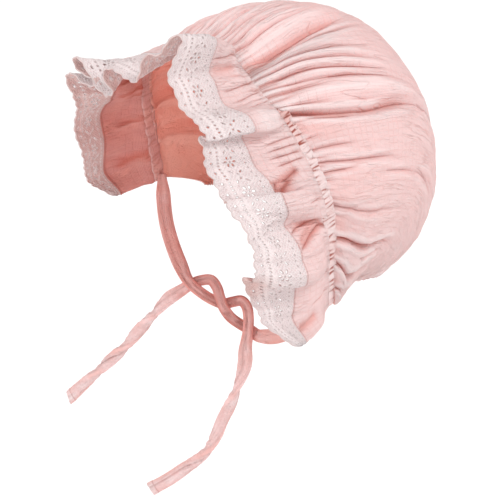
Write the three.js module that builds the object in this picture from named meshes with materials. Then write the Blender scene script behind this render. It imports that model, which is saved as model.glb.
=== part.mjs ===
// Lace baby bonnet: a gathered muslin crown, a shirred elastic casing round the face,
// a ruffled frill edged with pierced lace, and two cloth ties in a loose half knot.
// Millimetres, +Z up. The face opening looks towards -Y and the wearer's left is +X.
// The shapes are worked out round the ear axis, a line along X through both lower corners
// of the face opening, and the whole is then moved so that the origin is the head's seat.

import * as THREE from 'three';
import { LoftGeometry } from 'three/addons/geometries/LoftGeometry.js';

const { degToRad, lerp, smoothstep, clamp } = THREE.MathUtils;
const V = (x, y, z) => new THREE.Vector3(x, y, z);

// Face opening: an arch, followed by its angle from the top, positive to the wearer's left
const OPENING_HALF_WIDTH = 79;
const OPENING_RISE = 71; // from the widest level to the top
const OPENING_DROP = 135; // half height of the ellipse that the sides follow below the widest level
const SIDE_DRAW_IN = 0.25; // how much of that ellipse's narrowing the sides take
const SHOULDER_DRAW_IN = 0.05; // how far the arch is flattened halfway between top and sides
const CORNER_ANGLE = degToRad(118); // where the casing ends
const EAR_AXIS_ANGLE = degToRad(121); // where the arch would reach the ear axis
const OPENING_LEAN = degToRad(4.8); // the top of the opening stands forward of its corners

// Crown: ribs from ear to ear, turned about the ear axis from the opening to the nape
const NAPE_ANGLE = degToRad(107);
const NAPE_REACH = 0.77; // reach of the nape edge, as a share of the opening's
const NAPE_WIDTH = 0.785;
const NAPE_CORNER_RUN = 20; // how far behind the opening's corner the nape edge starts
const NAPE_TUCK = 16; // how far the nape edge is drawn in, and the share of the crown where that starts
const NAPE_TUCK_FROM = 0.75;
const NAPE_TUCK_FADE = 45; // the tuck fades out below this reach
const TOP_PUFF = 11;
const SIDE_PUFF = 8.5;
const SIDE_PUFF_FADE = 20; // the side puff grows to its full size over this much reach
const EDGE_SAG = 11; // reach below which the side sags inwards instead
const WIDTH_PUFF = 4.5;
const CROWN_FROM = 4.2; // from the middle of the casing
const CROWN_WALL = 1.4;
const GATHERS = 24; // main gathers along the opening
const GATHER_DEPTH = 1.7;
const FRONT_GATHER_RUN = 0.16; // share of the crown that the gathers run over from each edge
const NAPE_GATHER_RUN = 0.2;
const EDGE_HOLD = 0.06; // share of the crown over which the casing holds the cloth down
const CROWN_STEPS = [0, 0.03, 0.08, 0.15, 0.24, 0.34, 0.45, 0.57, 0.69, 0.81, 0.92, 1];
const COLUMNS_PER_GATHER = 3;

// Soft creases of the crown: angle at the front and at the back of the crease in degrees,
// the stretch of the crown that it runs over, its depth and its half width in degrees
const CREASES = [
  { front: -106, back: -110, from: 0.05, to: 0.6, depth: 3, width: 4 },
  { front: -94, back: -98, from: 0, to: 0.6, depth: 3.5, width: 4 },
  { front: -72, back: -82, from: 0, to: 0.45, depth: 3, width: 4 },
  { front: -52, back: -60, from: 0.05, to: 0.5, depth: 3.5, width: 4 },
  { front: -32, back: -44, from: 0, to: 0.45, depth: 3, width: 4 },
  { front: -9, back: -23, from: 0, to: 0.26, depth: 4, width: 3 },
  { front: 14, back: 2, from: 0, to: 0.34, depth: 5, width: 3.5 },
  { front: 20, back: 33, from: 0, to: 0.3, depth: 2.5, width: 3 },
  { front: 31, back: 43, from: 0, to: 0.36, depth: 3, width: 3 },
  { front: 52, back: 46, from: 0.04, to: 0.52, depth: 4.5, width: 3 },
  { front: 58, back: 76, from: 0, to: 0.4, depth: 3, width: 3.5 },
  { front: 86, back: 94, from: 0, to: 0.3, depth: 2.5, width: 3 },
  { front: 97, back: 102, from: 0, to: 0.7, depth: 4, width: 3.5 },
  { front: 105, back: 112, from: 0.02, to: 0.6, depth: 4, width: 3 },
];

const CREASE_START = 0.08; // a crease deepens and fades over these shares of the crown
const CREASE_END = 0.2;

// Elastic casing between crown and frill
const CASING_HALF_WIDTH = 3.2;
const CASING_HALF_DEPTH = 1.6;
const CASING_RIPPLE = 0.3;

// Frill and lace, measured forward from the middle of the casing
const FRILL_PITCH = degToRad(12); // the frill points a little up
const FRILL_FROM = 4;
const FRILL_TO = 27.7;
const LACE_FROM = 28.4;
const LACE_TO = 57;
const FRILL_WALL = 1.2;
const LACE_WALL = 1;
const FRILL_STEPS = 3;
const LACE_STEPS = 4;
const COLUMNS_PER_FOLD = 4;
const FOLD_GROWTH = 15; // distance over which a ruffle opens out

// Ruffles of the frill: angle at the casing, swing at the edge (crests out, valleys in), flare
// out from straight ahead, curl on the way to the edge, in degrees, drift along the edge, how far
// the fold after it laps over its own neck, and the share of the full width that is left there
const RUFFLES = [
  { at: -118, swing: 7, flare: -5, curl: -15, drift: 2, lap: 0, share: 0.68 },
  { at: -110, swing: 9, flare: -3, curl: -18, drift: -1, lap: 0, share: 0.92 },
  { at: -102, swing: 5, flare: -4, curl: -16, drift: 2, lap: 0, share: 1 },
  { at: -94, swing: 8, flare: -3, curl: -20, drift: 0, lap: 0, share: 1 },
  { at: -86, swing: -4, flare: 1, curl: -10, drift: 5, lap: 0, share: 1 },
  { at: -78, swing: -9, flare: 3, curl: 1, drift: 6, lap: 0, share: 1 },
  { at: -70, swing: -6, flare: 2, curl: 18, drift: 3, lap: 3, share: 1 },
  { at: -60, swing: -2, flare: 1, curl: -23, drift: 16, lap: 3, share: 1 },
  { at: -50, swing: -4, flare: 3, curl: 18, drift: -5, lap: 3, share: 1 },
  { at: -38, swing: 3, flare: -5, curl: -36, drift: 3, lap: 3, share: 1 },
  { at: -26, swing: 0, flare: -1, curl: -7, drift: 0, lap: 2, share: 1 },
  { at: -14, swing: 1, flare: -2, curl: -16, drift: 9, lap: 2, share: 1 },
  { at: -4, swing: 1, flare: 7, curl: 8, drift: 12, lap: 0, share: 1 },
  { at: 5, swing: 5, flare: 42, curl: -34, drift: 7, lap: 0, share: 1 },
  { at: 14, swing: 0, flare: 11, curl: -8, drift: -2, lap: 0, share: 1 },
  { at: 25, swing: -3, flare: 1, curl: 7, drift: -2, lap: 0, share: 1 },
  { at: 38, swing: 7, flare: 8, curl: -20, drift: -3, lap: 3, share: 1 },
  { at: 47, swing: -8, flare: 1, curl: 11, drift: -9, lap: 0, share: 1 },
  { at: 58, swing: -9, flare: -2, curl: -3, drift: -9, lap: 0, share: 1 },
  { at: 67, swing: -1, flare: -4, curl: -20, drift: -6, lap: 3, share: 1 },
  { at: 74, swing: 8, flare: -4, curl: -25, drift: -3, lap: 0, share: 1 },
  { at: 88, swing: -8, flare: 3, curl: 9, drift: -3, lap: 0, share: 1 },
  { at: 96, swing: 11, flare: -2, curl: -11, drift: -8, lap: 0, share: 1 },
  { at: 101, swing: 16, flare: 1, curl: -19, drift: -13, lap: 4, share: 1 },
  { at: 106, swing: 6, flare: -1, curl: -15, drift: 0, lap: 1, share: 1 },
  { at: 112, swing: 8, flare: -2, curl: -3, drift: -2, lap: 0, share: 1 },
  { at: 118, swing: 9, flare: 2, curl: 24, drift: 1, lap: 0, share: 0.89 },
];

// Eyelets through the lace: rows of cells that hold them, and their corners as shares of a cell
const EYELET_ROWS = [1, 2];
const EYELET_CORNERS = [[0.5, 0.25], [0.78, 0.5], [0.5, 0.75], [0.22, 0.5]];

// Ties: flat cloth tapes that face one way where their twist is zero
const TIE_WIDTH = 9;
const TIE_THICKNESS = 1.8;
const TIE_FACING = V(0.58, -0.5, 0.64).normalize();
const TIE_STEPS = 60;
const KNOT_CENTRE = V(-1, -15, -38); // round it the tapes bunch up
const KNOT_CORE = 20;
const KNOT_FADE = 38;
const KNOT_NARROWING = 0.6;
const KNOT_THICKENING = 1.3;

// Routes of the ties about the ear axis: x, y, z, and the twist of the tape in degrees
const RIGHT_TIE_ROUTE = [
  [-76.3, -1, 5, 0], [-69, -5, -4, 0], [-58, -11, -13, 0], [-46, -16, -20, 0], [-32, -21, -25, 0],
  [-19, -25, -27, 0], [-10.5, -22, -32, 0], [-5, -16.5, -37.5, 0], [-1.5, -13, -39, 0], [2, -9, -37.5, 0],
  [6.5, -6, -35.5, 0], [11, -6, -37, 0], [15, -8, -41, 0], [18, -11, -49, 0], [18, -13, -62, 0],
  [17, -13, -77, 0], [14, -16, -94, 70], [11, -19, -110, 150], [7, -23, -126, 180], [4, -27, -142, 215],
  [-2, -31, -158, 300], [-13, -37, -175, 350], [-24, -44, -191, 360], [-36, -50, -206, 360],
];
const LEFT_TIE_ROUTE = [
  [75.9, -1, 4.5, 0], [69, -4, -6, 0], [61, -7, -16, 0], [52, -9, -27, 0], [42, -10, -37, 0],
  [31, -10, -45, 0], [20.5, -6.5, -53, 0], [13.5, -5.5, -54.5, 0], [9, -9.5, -50.5, 0], [6, -15, -43, 0],
  [2, -17, -36, 0], [-2, -16, -32, 0], [-7, -14, -29, 0], [-13, -13.5, -27.5, 0], [-18, -17, -29, 0],
  [-22, -21, -32, 0], [-26, -26, -37, 0], [-34, -31, -47, 20], [-43, -34, -62, 70], [-53, -39, -80, 165],
  [-63, -43, -98, 265], [-73, -47, -114, 360], [-84, -53, -131, 455], [-95, -58, -148, 530],
  [-105, -63, -164, 570],
];

// Where the top of the head meets the crown, from the ear axis: the origin of the part
const HEAD_SEAT = V(0, 24, 142);

const NUDGE = 1e-3; // step for slopes taken by small differences

// A point of the face opening's arch: distance to the side, and height over the ear axis
function openingArch(phi) {
  const angle = Math.abs(phi);
  const sine = Math.sin(angle);
  const below = angle > Math.PI / 2;
  const drawn = 1 - SHOULDER_DRAW_IN * Math.sin(2 * angle) ** 2;
  const side = OPENING_HALF_WIDTH * (below ? 1 - SIDE_DRAW_IN * (1 - sine) : sine * drawn);
  const level = (below ? OPENING_DROP : OPENING_RISE * drawn) * Math.cos(angle);
  return { side: Math.sign(phi) * side, height: level - OPENING_DROP * Math.cos(EAR_AXIS_ANGLE) };
}

// The crown before gathers: t runs from the opening, 0, to the nape, 1
function smoothCrown(phi, t) {
  const { side, height } = openingArch(phi);
  const topShare = Math.cos((phi / EAR_AXIS_ANGLE) * (Math.PI / 2));
  const turn = lerp(-OPENING_LEAN, NAPE_ANGLE, t);
  const puff = Math.sin(Math.PI * t);
  const toNape = smoothstep(t, 0, 1);
  const sidePuff = SIDE_PUFF * Math.min(1, (height - EDGE_SAG) / SIDE_PUFF_FADE);
  const tuckShare = Math.max(0, (t - NAPE_TUCK_FROM) / (1 - NAPE_TUCK_FROM)) ** 2;
  const tuck = NAPE_TUCK * tuckShare * Math.min(1, height / NAPE_TUCK_FADE);
  const reach = height * lerp(1, NAPE_REACH, toNape) + (sidePuff + TOP_PUFF * topShare) * puff - tuck;
  const x = side * lerp(1, NAPE_WIDTH, toNape) + WIDTH_PUFF * Math.sin(phi) * puff;
  const run = NAPE_CORNER_RUN * (1 - topShare) * toNape;
  return V(x, reach * Math.sin(turn) + run, reach * Math.cos(turn));
}

// Outward normal of a surface given by two parameters
function normalOf(surface, a, b) {
  const alongA = surface(a + NUDGE, b).sub(surface(a - NUDGE, b));
  const alongB = surface(a, b + NUDGE).sub(surface(a, b - NUDGE));
  return alongA.cross(alongB).normalize();
}

// How far the gathers and creases push the crown out
function gatherDepth(phi, t) {
  const nearEdge = Math.exp(-((t / FRONT_GATHER_RUN) ** 2)) + Math.exp(-(((1 - t) / NAPE_GATHER_RUN) ** 2));
  let depth = GATHER_DEPTH * nearEdge * Math.cos((GATHERS * Math.PI * phi) / CORNER_ANGLE);
  for (const crease of CREASES) {
    const middle = degToRad(lerp(crease.front, crease.back, t / crease.to));
    const across = (phi - middle) / degToRad(crease.width);
    const begun = smoothstep(t, crease.from, crease.from + CREASE_START);
    const ended = smoothstep(t, crease.to - CREASE_END, crease.to);
    depth -= crease.depth * begun * (1 - ended) * Math.exp(-across * across);
  }
  return depth * smoothstep(t, 0, EDGE_HOLD);
}

function crownSurface(phi, t) {
  const point = smoothCrown(phi, t);
  return point.addScaledVector(normalOf(smoothCrown, phi, t), gatherDepth(phi, t));
}

// Direction along the casing at an angle, and the frill's two directions there
function casingFrame(phi) {
  const middle = smoothCrown(phi, 0);
  const along = smoothCrown(phi + NUDGE, 0).sub(smoothCrown(phi - NUDGE, 0)).normalize();
  const ahead = V(0, -Math.cos(FRILL_PITCH), Math.sin(FRILL_PITCH));
  const out = ahead.clone().cross(along).normalize();
  return { middle, along, ahead, out };
}

// The ruffled frill and its lace, by the distance from the casing at full width
function frillSurface(phi, fullReach) {
  const degrees = clamp(THREE.MathUtils.radToDeg(phi), RUFFLES[0].at, RUFFLES.at(-1).at);
  const next = Math.max(1, RUFFLES.findIndex((ruffle) => ruffle.at >= degrees));
  const [from, to] = [RUFFLES[next - 1], RUFFLES[next]];
  const share = (degrees - from.at) / (to.at - from.at);
  const ease = (1 - Math.cos(Math.PI * share)) / 2;
  const mix = (name) => lerp(from[name], to[name], ease);
  const reach = FRILL_FROM + (fullReach - FRILL_FROM) * mix('share');
  const grown = 1 - Math.exp(-((reach / FOLD_GROWTH) ** 2));
  const flare = degToRad(mix('flare'));
  const bend = degToRad(mix('curl')) / LACE_TO;
  const angle = flare + bend * reach;
  const straight = Math.abs(bend * reach) < NUDGE;
  const run = straight ? reach * Math.cos(flare) : (Math.sin(angle) - Math.sin(flare)) / bend;
  const rise = straight ? reach * Math.sin(flare) : (Math.cos(flare) - Math.cos(angle)) / bend;
  const swing = mix('swing') * grown;
  const lap = from.lap * Math.sin(2 * Math.PI * share) * grown;
  const drift = lap + (mix('drift') * reach) / LACE_TO;
  const { middle, along, ahead, out } = casingFrame(phi);
  return middle
    .addScaledVector(ahead, run - Math.sin(angle) * swing)
    .addScaledVector(out, rise + Math.cos(angle) * swing)
    .addScaledVector(along, drift);
}

function evenSteps(from, to, count) {
  return Array.from({ length: count + 1 }, (_, i) => lerp(from, to, i / count));
}

// A cloth wall over a grid of columns and rows, with a diamond eyelet in each open cell
function clothWall(surface, columns, rowsOf, wall, isOpen = () => false) {
  const points = [];
  const triangles = [];
  const vertex = (column, row, side) => {
    const normal = normalOf(surface, column, row);
    return points.push(surface(column, row).addScaledVector(normal, side * wall)) - 1;
  };
  const quad = (a, b, c, d) => triangles.push(a, b, c, a, c, d);
  const grid = (side) => columns.map((column) => rowsOf(column).map((row) => vertex(column, row, side)));
  const outer = grid(0.5);
  const inner = grid(-0.5);
  const lastColumn = columns.length - 1;
  const lastRow = outer[0].length - 1;
  const eyelet = (i, j) => {
    const reach = rowsOf(columns[i]);
    const corners = [[i, j], [i + 1, j], [i + 1, j + 1], [i, j + 1]];
    const rims = [0.5, -0.5].map((side) =>
      EYELET_CORNERS.map(([a, b]) =>
        vertex(lerp(columns[i], columns[i + 1], a), lerp(reach[j], reach[j + 1], b), side),
      ),
    );
    for (let k = 0; k < 4; k += 1) {
      const next = (k + 1) % 4;
      const [outerNear, outerFar] = [corners[k], corners[next]].map(([a, b]) => outer[a][b]);
      const [innerNear, innerFar] = [corners[k], corners[next]].map(([a, b]) => inner[a][b]);
      triangles.push(outerNear, outerFar, rims[0][k], outerFar, rims[0][next], rims[0][k]);
      triangles.push(innerFar, innerNear, rims[1][k], rims[1][next], innerFar, rims[1][k]);
      quad(rims[0][k], rims[0][next], rims[1][next], rims[1][k]);
    }
  };
  for (let i = 0; i < lastColumn; i += 1) {
    for (let j = 0; j < lastRow; j += 1) {
      if (isOpen(i, j)) {
        eyelet(i, j);
        continue;
      }
      quad(outer[i][j], outer[i + 1][j], outer[i + 1][j + 1], outer[i][j + 1]);
      quad(inner[i][j], inner[i][j + 1], inner[i + 1][j + 1], inner[i + 1][j]);
    }
    quad(outer[i + 1][0], outer[i][0], inner[i][0], inner[i + 1][0]);
    quad(outer[i][lastRow], outer[i + 1][lastRow], inner[i + 1][lastRow], inner[i][lastRow]);
  }
  for (let j = 0; j < lastRow; j += 1) {
    quad(outer[0][j], outer[0][j + 1], inner[0][j + 1], inner[0][j]);
    quad(outer[lastColumn][j + 1], outer[lastColumn][j], inner[lastColumn][j], inner[lastColumn][j + 1]);
  }
  const geometry = new THREE.BufferGeometry().setFromPoints(points);
  geometry.setIndex(triangles);
  geometry.computeVertexNormals();
  return geometry;
}

const LOFT_ENDS = { capStart: true, capEnd: true };

function crownGeometry() {
  const columns = evenSteps(-CORNER_ANGLE, CORNER_ANGLE, GATHERS * COLUMNS_PER_GATHER);
  const rowsOf = (phi) => {
    const slope = smoothCrown(phi, NUDGE).distanceTo(smoothCrown(phi, 0)) / NUDGE;
    return CROWN_STEPS.map((t) => lerp(CROWN_FROM / slope, 1, t));
  };
  return clothWall(crownSurface, columns, rowsOf, CROWN_WALL);
}

function casingGeometry() {
  const count = GATHERS * COLUMNS_PER_GATHER;
  const sections = evenSteps(-CORNER_ANGLE, CORNER_ANGLE, count).map((phi, i) => {
    const { middle, along } = casingFrame(phi);
    const ahead = frillSurface(phi, 1).sub(smoothCrown(phi, NUDGE * 10)).normalize();
    const out = ahead.clone().cross(along).normalize();
    const depth = CASING_HALF_DEPTH + CASING_RIPPLE * Math.cos((2 * Math.PI * i) / COLUMNS_PER_GATHER);
    const ring = [[-1, 0], [-0.5, 1], [0.5, 1], [1, 0], [0.5, -1], [-0.5, -1]];
    return ring.map(([a, b]) =>
      middle.clone().addScaledVector(ahead, a * CASING_HALF_WIDTH).addScaledVector(out, b * depth),
    );
  });
  return new LoftGeometry(sections, LOFT_ENDS);
}

// Columns of the frill: the same number in each half ruffle
function ruffleColumns() {
  const columns = [degToRad(RUFFLES[0].at)];
  for (let i = 1; i < RUFFLES.length; i += 1) {
    const steps = evenSteps(RUFFLES[i - 1].at, RUFFLES[i].at, COLUMNS_PER_FOLD);
    columns.push(...steps.slice(1).map(degToRad));
  }
  return columns;
}

function frillGeometry() {
  const rows = evenSteps(FRILL_FROM, FRILL_TO, FRILL_STEPS);
  return clothWall(frillSurface, ruffleColumns(), () => rows, FRILL_WALL);
}

// Eyelets take every second cell in each of two rows, staggered
function laceGeometry() {
  const rows = evenSteps(LACE_FROM, LACE_TO, LACE_STEPS);
  const isOpen = (i, j) => EYELET_ROWS.includes(j) && (i + j) % 2 === 0;
  return clothWall(frillSurface, ruffleColumns(), () => rows, LACE_WALL, isOpen);
}

// A flat tape along a route, turned about its length by the route's twist
function tieGeometry(route) {
  const curve = new THREE.CatmullRomCurve3(route.map(([x, y, z]) => V(x, y, z)), false, 'centripetal');
  const ring = [[-1, 0], [-0.8, 1], [0.8, 1], [1, 0], [0.8, -1], [-0.8, -1]];
  const sections = evenSteps(0, 1, TIE_STEPS).map((u) => {
    const tangent = curve.getTangentAt(u);
    const place = curve.getUtoTmapping(u) * (route.length - 1);
    const row = Math.min(route.length - 2, Math.floor(place));
    const twist = lerp(route[row][3], route[row + 1][3], place - row);
    const across = tangent.clone().cross(TIE_FACING).normalize().applyAxisAngle(tangent, degToRad(twist));
    const face = across.clone().cross(tangent).normalize();
    const middle = curve.getPointAt(u);
    const free = smoothstep(middle.distanceTo(KNOT_CENTRE), KNOT_CORE, KNOT_FADE);
    const halfWidth = (TIE_WIDTH / 2) * lerp(KNOT_NARROWING, 1, free);
    const halfThickness = (TIE_THICKNESS / 2) * lerp(KNOT_THICKENING, 1, free);
    return ring.map(([a, b]) =>
      middle.clone().addScaledVector(across, a * halfWidth).addScaledVector(face, b * halfThickness),
    );
  });
  return new LoftGeometry(sections, LOFT_ENDS);
}

function cloth(name, geometry, color) {
  const material = new THREE.MeshStandardMaterial({ color, roughness: 0.9, metalness: 0 });
  const mesh = new THREE.Mesh(geometry, material);
  mesh.name = name;
  return mesh;
}

const bonnet = new THREE.Group();
bonnet.position.copy(HEAD_SEAT).negate();
bonnet.add(
  cloth('crown', crownGeometry(), 0xf3c3c0),
  cloth('elastic_casing', casingGeometry(), 0xeeb9b6),
  cloth('frill', frillGeometry(), 0xf1bfbd),
  cloth('lace_trim', laceGeometry(), 0xf1e8ea),
  cloth('tie_left', tieGeometry(LEFT_TIE_ROUTE), 0xe9aeac),
  cloth('tie_right', tieGeometry(RIGHT_TIE_ROUTE), 0xe9aeac),
);

export default bonnet;
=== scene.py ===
"""Lace baby bonnet: crinkled muslin crown, shirred casing, ruffled frill, eyelet lace and two knotted ties.

Shapes are worked out in millimetres about the ear axis, the line along X through both lower corners of the
face opening, and moved to the part's frame, in metres, when a mesh is made. A place on the bonnet is an angle
round the face opening, zero at the brow and above zero on the wearer's left, with a share of the way over the
crown from the casing to the nape, or a distance out from the casing.
"""

import math

import bpy
import numpy as np
from mathutils import Matrix, Vector
from mathutils.geometry import delaunay_2d_cdt


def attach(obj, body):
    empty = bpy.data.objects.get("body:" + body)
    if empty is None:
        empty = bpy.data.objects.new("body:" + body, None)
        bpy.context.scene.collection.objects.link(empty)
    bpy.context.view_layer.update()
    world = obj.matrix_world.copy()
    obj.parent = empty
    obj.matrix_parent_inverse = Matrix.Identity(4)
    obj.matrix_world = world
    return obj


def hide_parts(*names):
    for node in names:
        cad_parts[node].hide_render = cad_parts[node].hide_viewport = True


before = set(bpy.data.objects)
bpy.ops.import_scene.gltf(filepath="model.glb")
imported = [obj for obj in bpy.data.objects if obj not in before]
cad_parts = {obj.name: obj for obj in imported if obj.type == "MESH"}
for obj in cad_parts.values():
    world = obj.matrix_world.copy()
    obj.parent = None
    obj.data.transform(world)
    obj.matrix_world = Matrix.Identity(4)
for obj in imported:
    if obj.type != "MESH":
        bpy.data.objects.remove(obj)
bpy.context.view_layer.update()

MM = 0.001
HEAD_SEAT = np.array([0.0, 24.0, 142.0])  # the part's origin, from the ear axis
NUDGE = 1e-3  # step for the slopes of a surface
TINY = 1e-6


# Small helpers
def rad(degrees):
    return np.radians(degrees)


def lerp(a, b, share):
    return a + (b - a) * share


def smoothstep(x, low, high):
    s = np.clip((x - low) / (high - low), 0, 1)
    return s * s * (3 - 2 * s)


def bell(x, middle=0.0, over=1.0):
    """A smooth hump, 1 at its middle."""
    return np.exp(-(((x - middle) / over) ** 2))


def unit(v):
    return v / np.maximum(np.linalg.norm(v, axis=-1, keepdims=True), TINY**2)


def running_length(line):
    """Length of a line of points up to each of them."""
    return np.concatenate([[0], np.cumsum(np.linalg.norm(np.diff(line, axis=0), axis=1))])


def lattice_noise(u, v, cells_u, cells_v, seed):
    """Smooth noise from -1 to 1 over u and v from 0 to 1."""
    grid = np.random.default_rng(seed).uniform(-1, 1, (cells_u + 2, cells_v + 2))
    x = np.clip(u, 0, 1) * cells_u
    y = np.clip(v, 0, 1) * cells_v
    i = np.floor(x).astype(int)
    j = np.floor(y).astype(int)
    a = smoothstep(x - i, 0, 1)
    near = lerp(grid[i, j], grid[i + 1, j], a)
    far = lerp(grid[i, j + 1], grid[i + 1, j + 1], a)
    return lerp(near, far, smoothstep(y - j, 0, 1))


def crinkled(u, v, rows):
    """Noises added up, each row with its height, its cells along u and v, and its seed."""
    return sum(height * lattice_noise(u, v, *cells, seed) for height, *cells, seed in rows)


def uneven(share, rows):
    """The same along a line."""
    return crinkled(share, 0 * share, rows)


# Face opening and smooth crown, as in the solids
OPENING_HALF_WIDTH = 79.0
OPENING_RISE = 71.0
OPENING_DROP = 135.0
SIDE_DRAW_IN = 0.25
SHOULDER_DRAW_IN = 0.05
CORNER_ANGLE = rad(118)
EAR_AXIS_ANGLE = rad(121)
OPENING_LEAN = rad(4.8)
NAPE_ANGLE = rad(107)
NAPE_REACH = 0.77
NAPE_WIDTH = 0.785
NAPE_CORNER_RUN = 20.0
NAPE_TUCK = 16.0
NAPE_TUCK_FROM = 0.75
NAPE_TUCK_FADE = 45.0
TOP_PUFF = 11.0
SIDE_PUFF = 8.5
SIDE_PUFF_FADE = 20.0
EDGE_SAG = 11.0
WIDTH_PUFF = 4.5
FRILL_PITCH = rad(12)


def round_share(phi):
    """Share of the way round the face opening, from the wearer's right corner."""
    return (phi + CORNER_ANGLE) / (2 * CORNER_ANGLE)


def opening_arch(phi):
    """Side and height of the face opening's edge."""
    angle = np.abs(phi)
    sine = np.sin(angle)
    below = angle > np.pi / 2
    drawn = 1 - SHOULDER_DRAW_IN * np.sin(2 * angle) ** 2
    side = OPENING_HALF_WIDTH * np.where(below, 1 - SIDE_DRAW_IN * (1 - sine), sine * drawn)
    level = np.where(below, OPENING_DROP, OPENING_RISE * drawn) * np.cos(angle)
    return np.sign(phi) * side, level - OPENING_DROP * np.cos(EAR_AXIS_ANGLE)


def smooth_crown(phi, t):
    """The crown without its gathers, over the angle and the share of the way to the nape."""
    side, height = opening_arch(phi)
    top_share = np.cos(phi / EAR_AXIS_ANGLE * np.pi / 2)
    turn = lerp(-OPENING_LEAN, NAPE_ANGLE, t)
    puff = np.sin(np.pi * t)
    to_nape = smoothstep(t, 0, 1)
    side_puff = SIDE_PUFF * np.minimum(1, (height - EDGE_SAG) / SIDE_PUFF_FADE)
    reach = height * lerp(1, NAPE_REACH, to_nape) + (side_puff + TOP_PUFF * top_share) * puff
    tuck = NAPE_TUCK * np.clip((t - NAPE_TUCK_FROM) / (1 - NAPE_TUCK_FROM), 0, None) ** 2
    reach = reach - tuck * np.minimum(1, height / NAPE_TUCK_FADE)
    x = side * lerp(1, NAPE_WIDTH, to_nape) + WIDTH_PUFF * np.sin(phi) * puff
    run = NAPE_CORNER_RUN * (1 - top_share) * to_nape
    return np.stack([x, reach * np.sin(turn) + run, reach * np.cos(turn)], axis=-1)


def normals_of(surface, a, b):
    along_a = surface(a + NUDGE, b) - surface(a - NUDGE, b)
    along_b = surface(a, b + NUDGE) - surface(a, b - NUDGE)
    return unit(np.cross(along_a, along_b))


def row_stretch(surface, phi, other):
    """Millimetres that a surface runs for each radian round the opening."""
    run = surface(phi + NUDGE, other) - surface(phi - NUDGE, other)
    return np.linalg.norm(run, axis=-1) / (2 * NUDGE)


def casing_frame(phi):
    """Middle of the casing, and the ways along it, ahead and out."""
    start = np.zeros_like(phi)
    middle = smooth_crown(phi, start)
    along = unit(smooth_crown(phi + NUDGE, start) - smooth_crown(phi - NUDGE, start))
    ahead = np.broadcast_to(np.array([0, -np.cos(FRILL_PITCH), np.sin(FRILL_PITCH)]), along.shape)
    out = unit(np.cross(ahead, along))
    return middle, along, ahead, out


# Frill and lace: distances from the casing, and bulges that are left out of the solids
FRILL_FROM = 4.0
FRILL_TO = 28.0
LACE_TO = 57.0
FOLD_GROWTH = 15.0
END_BULGE = 6.0  # the frill's ends round out
END_BULGE_OVER = rad(6)
SEAM_SHIFT = (12.0, 11.0)  # the muslin runs further out at the frill's far and near ends
SEAM_SHIFT_OVER = (rad(24), rad(9))
FLAP_SWELL = 4.0  # the flap over the brow swells up against the gathers
FLAP_SWELL_AT = (8.0, 10.0)  # angle in degrees, and distance from the casing
FLAP_SWELL_OVER = (5.0, 6.0)

# Ruffles, as in the solids: angle, swing, flare, curl, drift, lap, share of the full width
RUFFLES = np.array([
    (-118, 7, -5, -15, 2, 0, 0.68),
    (-110, 9, -3, -18, -1, 0, 0.92),
    (-102, 5, -4, -16, 2, 0, 1),
    (-94, 8, -3, -20, 0, 0, 1),
    (-86, -4, 1, -10, 5, 0, 1),
    (-78, -9, 3, 1, 6, 0, 1),
    (-70, -6, 2, 18, 3, 3, 1),
    (-60, -2, 1, -23, 16, 3, 1),
    (-50, -4, 3, 18, -5, 3, 1),
    (-38, 3, -5, -36, 3, 3, 1),
    (-26, 0, -1, -7, 0, 2, 1),
    (-14, 1, -2, -16, 9, 2, 1),
    (-4, 1, 7, 8, 12, 0, 1),
    (5, 5, 42, -34, 7, 0, 1),
    (14, 0, 11, -8, -2, 0, 1),
    (25, -3, 1, 7, -2, 0, 1),
    (38, 7, 8, -20, -3, 3, 1),
    (47, -8, 1, 11, -9, 0, 1),
    (58, -9, -2, -3, -9, 0, 1),
    (67, -1, -4, -20, -6, 3, 1),
    (74, 8, -4, -25, -3, 0, 1),
    (88, -8, 3, 9, -3, 0, 1),
    (96, 11, -2, -11, -8, 0, 1),
    (101, 16, 1, -19, -13, 4, 1),
    (106, 6, -1, -15, 0, 1, 1),
    (112, 8, -2, -3, -2, 0, 1),
    (118, 9, 2, 24, 1, 0, 0.89),
], float)


def frill_surface(phi, full_reach):
    """The ruffled frill and lace, over the angle and the distance out from the casing."""
    degrees = np.clip(np.degrees(phi), RUFFLES[0, 0], RUFFLES[-1, 0])
    following = np.clip(np.searchsorted(RUFFLES[:, 0], degrees), 1, len(RUFFLES) - 1)
    low = RUFFLES[following - 1]
    high = RUFFLES[following]
    share = (degrees - low[..., 0]) / (high[..., 0] - low[..., 0])
    ease = (1 - np.cos(np.pi * share)) / 2
    _, swing, flare, curl, drift, _, width = np.moveaxis(lerp(low, high, ease[..., None]), -1, 0)
    reach = FRILL_FROM + (full_reach - FRILL_FROM) * width
    grown = 1 - bell(reach, 0, FOLD_GROWTH)
    flare = rad(flare)
    bend = rad(curl) / LACE_TO
    bend = np.where(np.abs(bend) < TINY, TINY, bend)
    angle = flare + bend * reach
    run = (np.sin(angle) - np.sin(flare)) / bend
    rise = (np.cos(flare) - np.cos(angle)) / bend
    swing = swing * grown
    drift = low[..., 5] * np.sin(2 * np.pi * share) * grown + drift * reach / LACE_TO
    bulge = END_BULGE * bell(np.abs(phi), CORNER_ANGLE, END_BULGE_OVER)
    drift = drift + np.sign(phi) * bulge * np.sin(np.pi * np.clip(reach / LACE_TO, 0, 1))
    swell = bell(degrees, FLAP_SWELL_AT[0], FLAP_SWELL_OVER[0])
    rise = rise + FLAP_SWELL * swell * bell(reach, FLAP_SWELL_AT[1], FLAP_SWELL_OVER[1])
    middle, along, ahead, out = casing_frame(phi)
    return (
        middle
        + ahead * (run - np.sin(angle) * swing)[..., None]
        + out * (rise + np.cos(angle) * swing)[..., None]
        + along * drift[..., None]
    )


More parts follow.
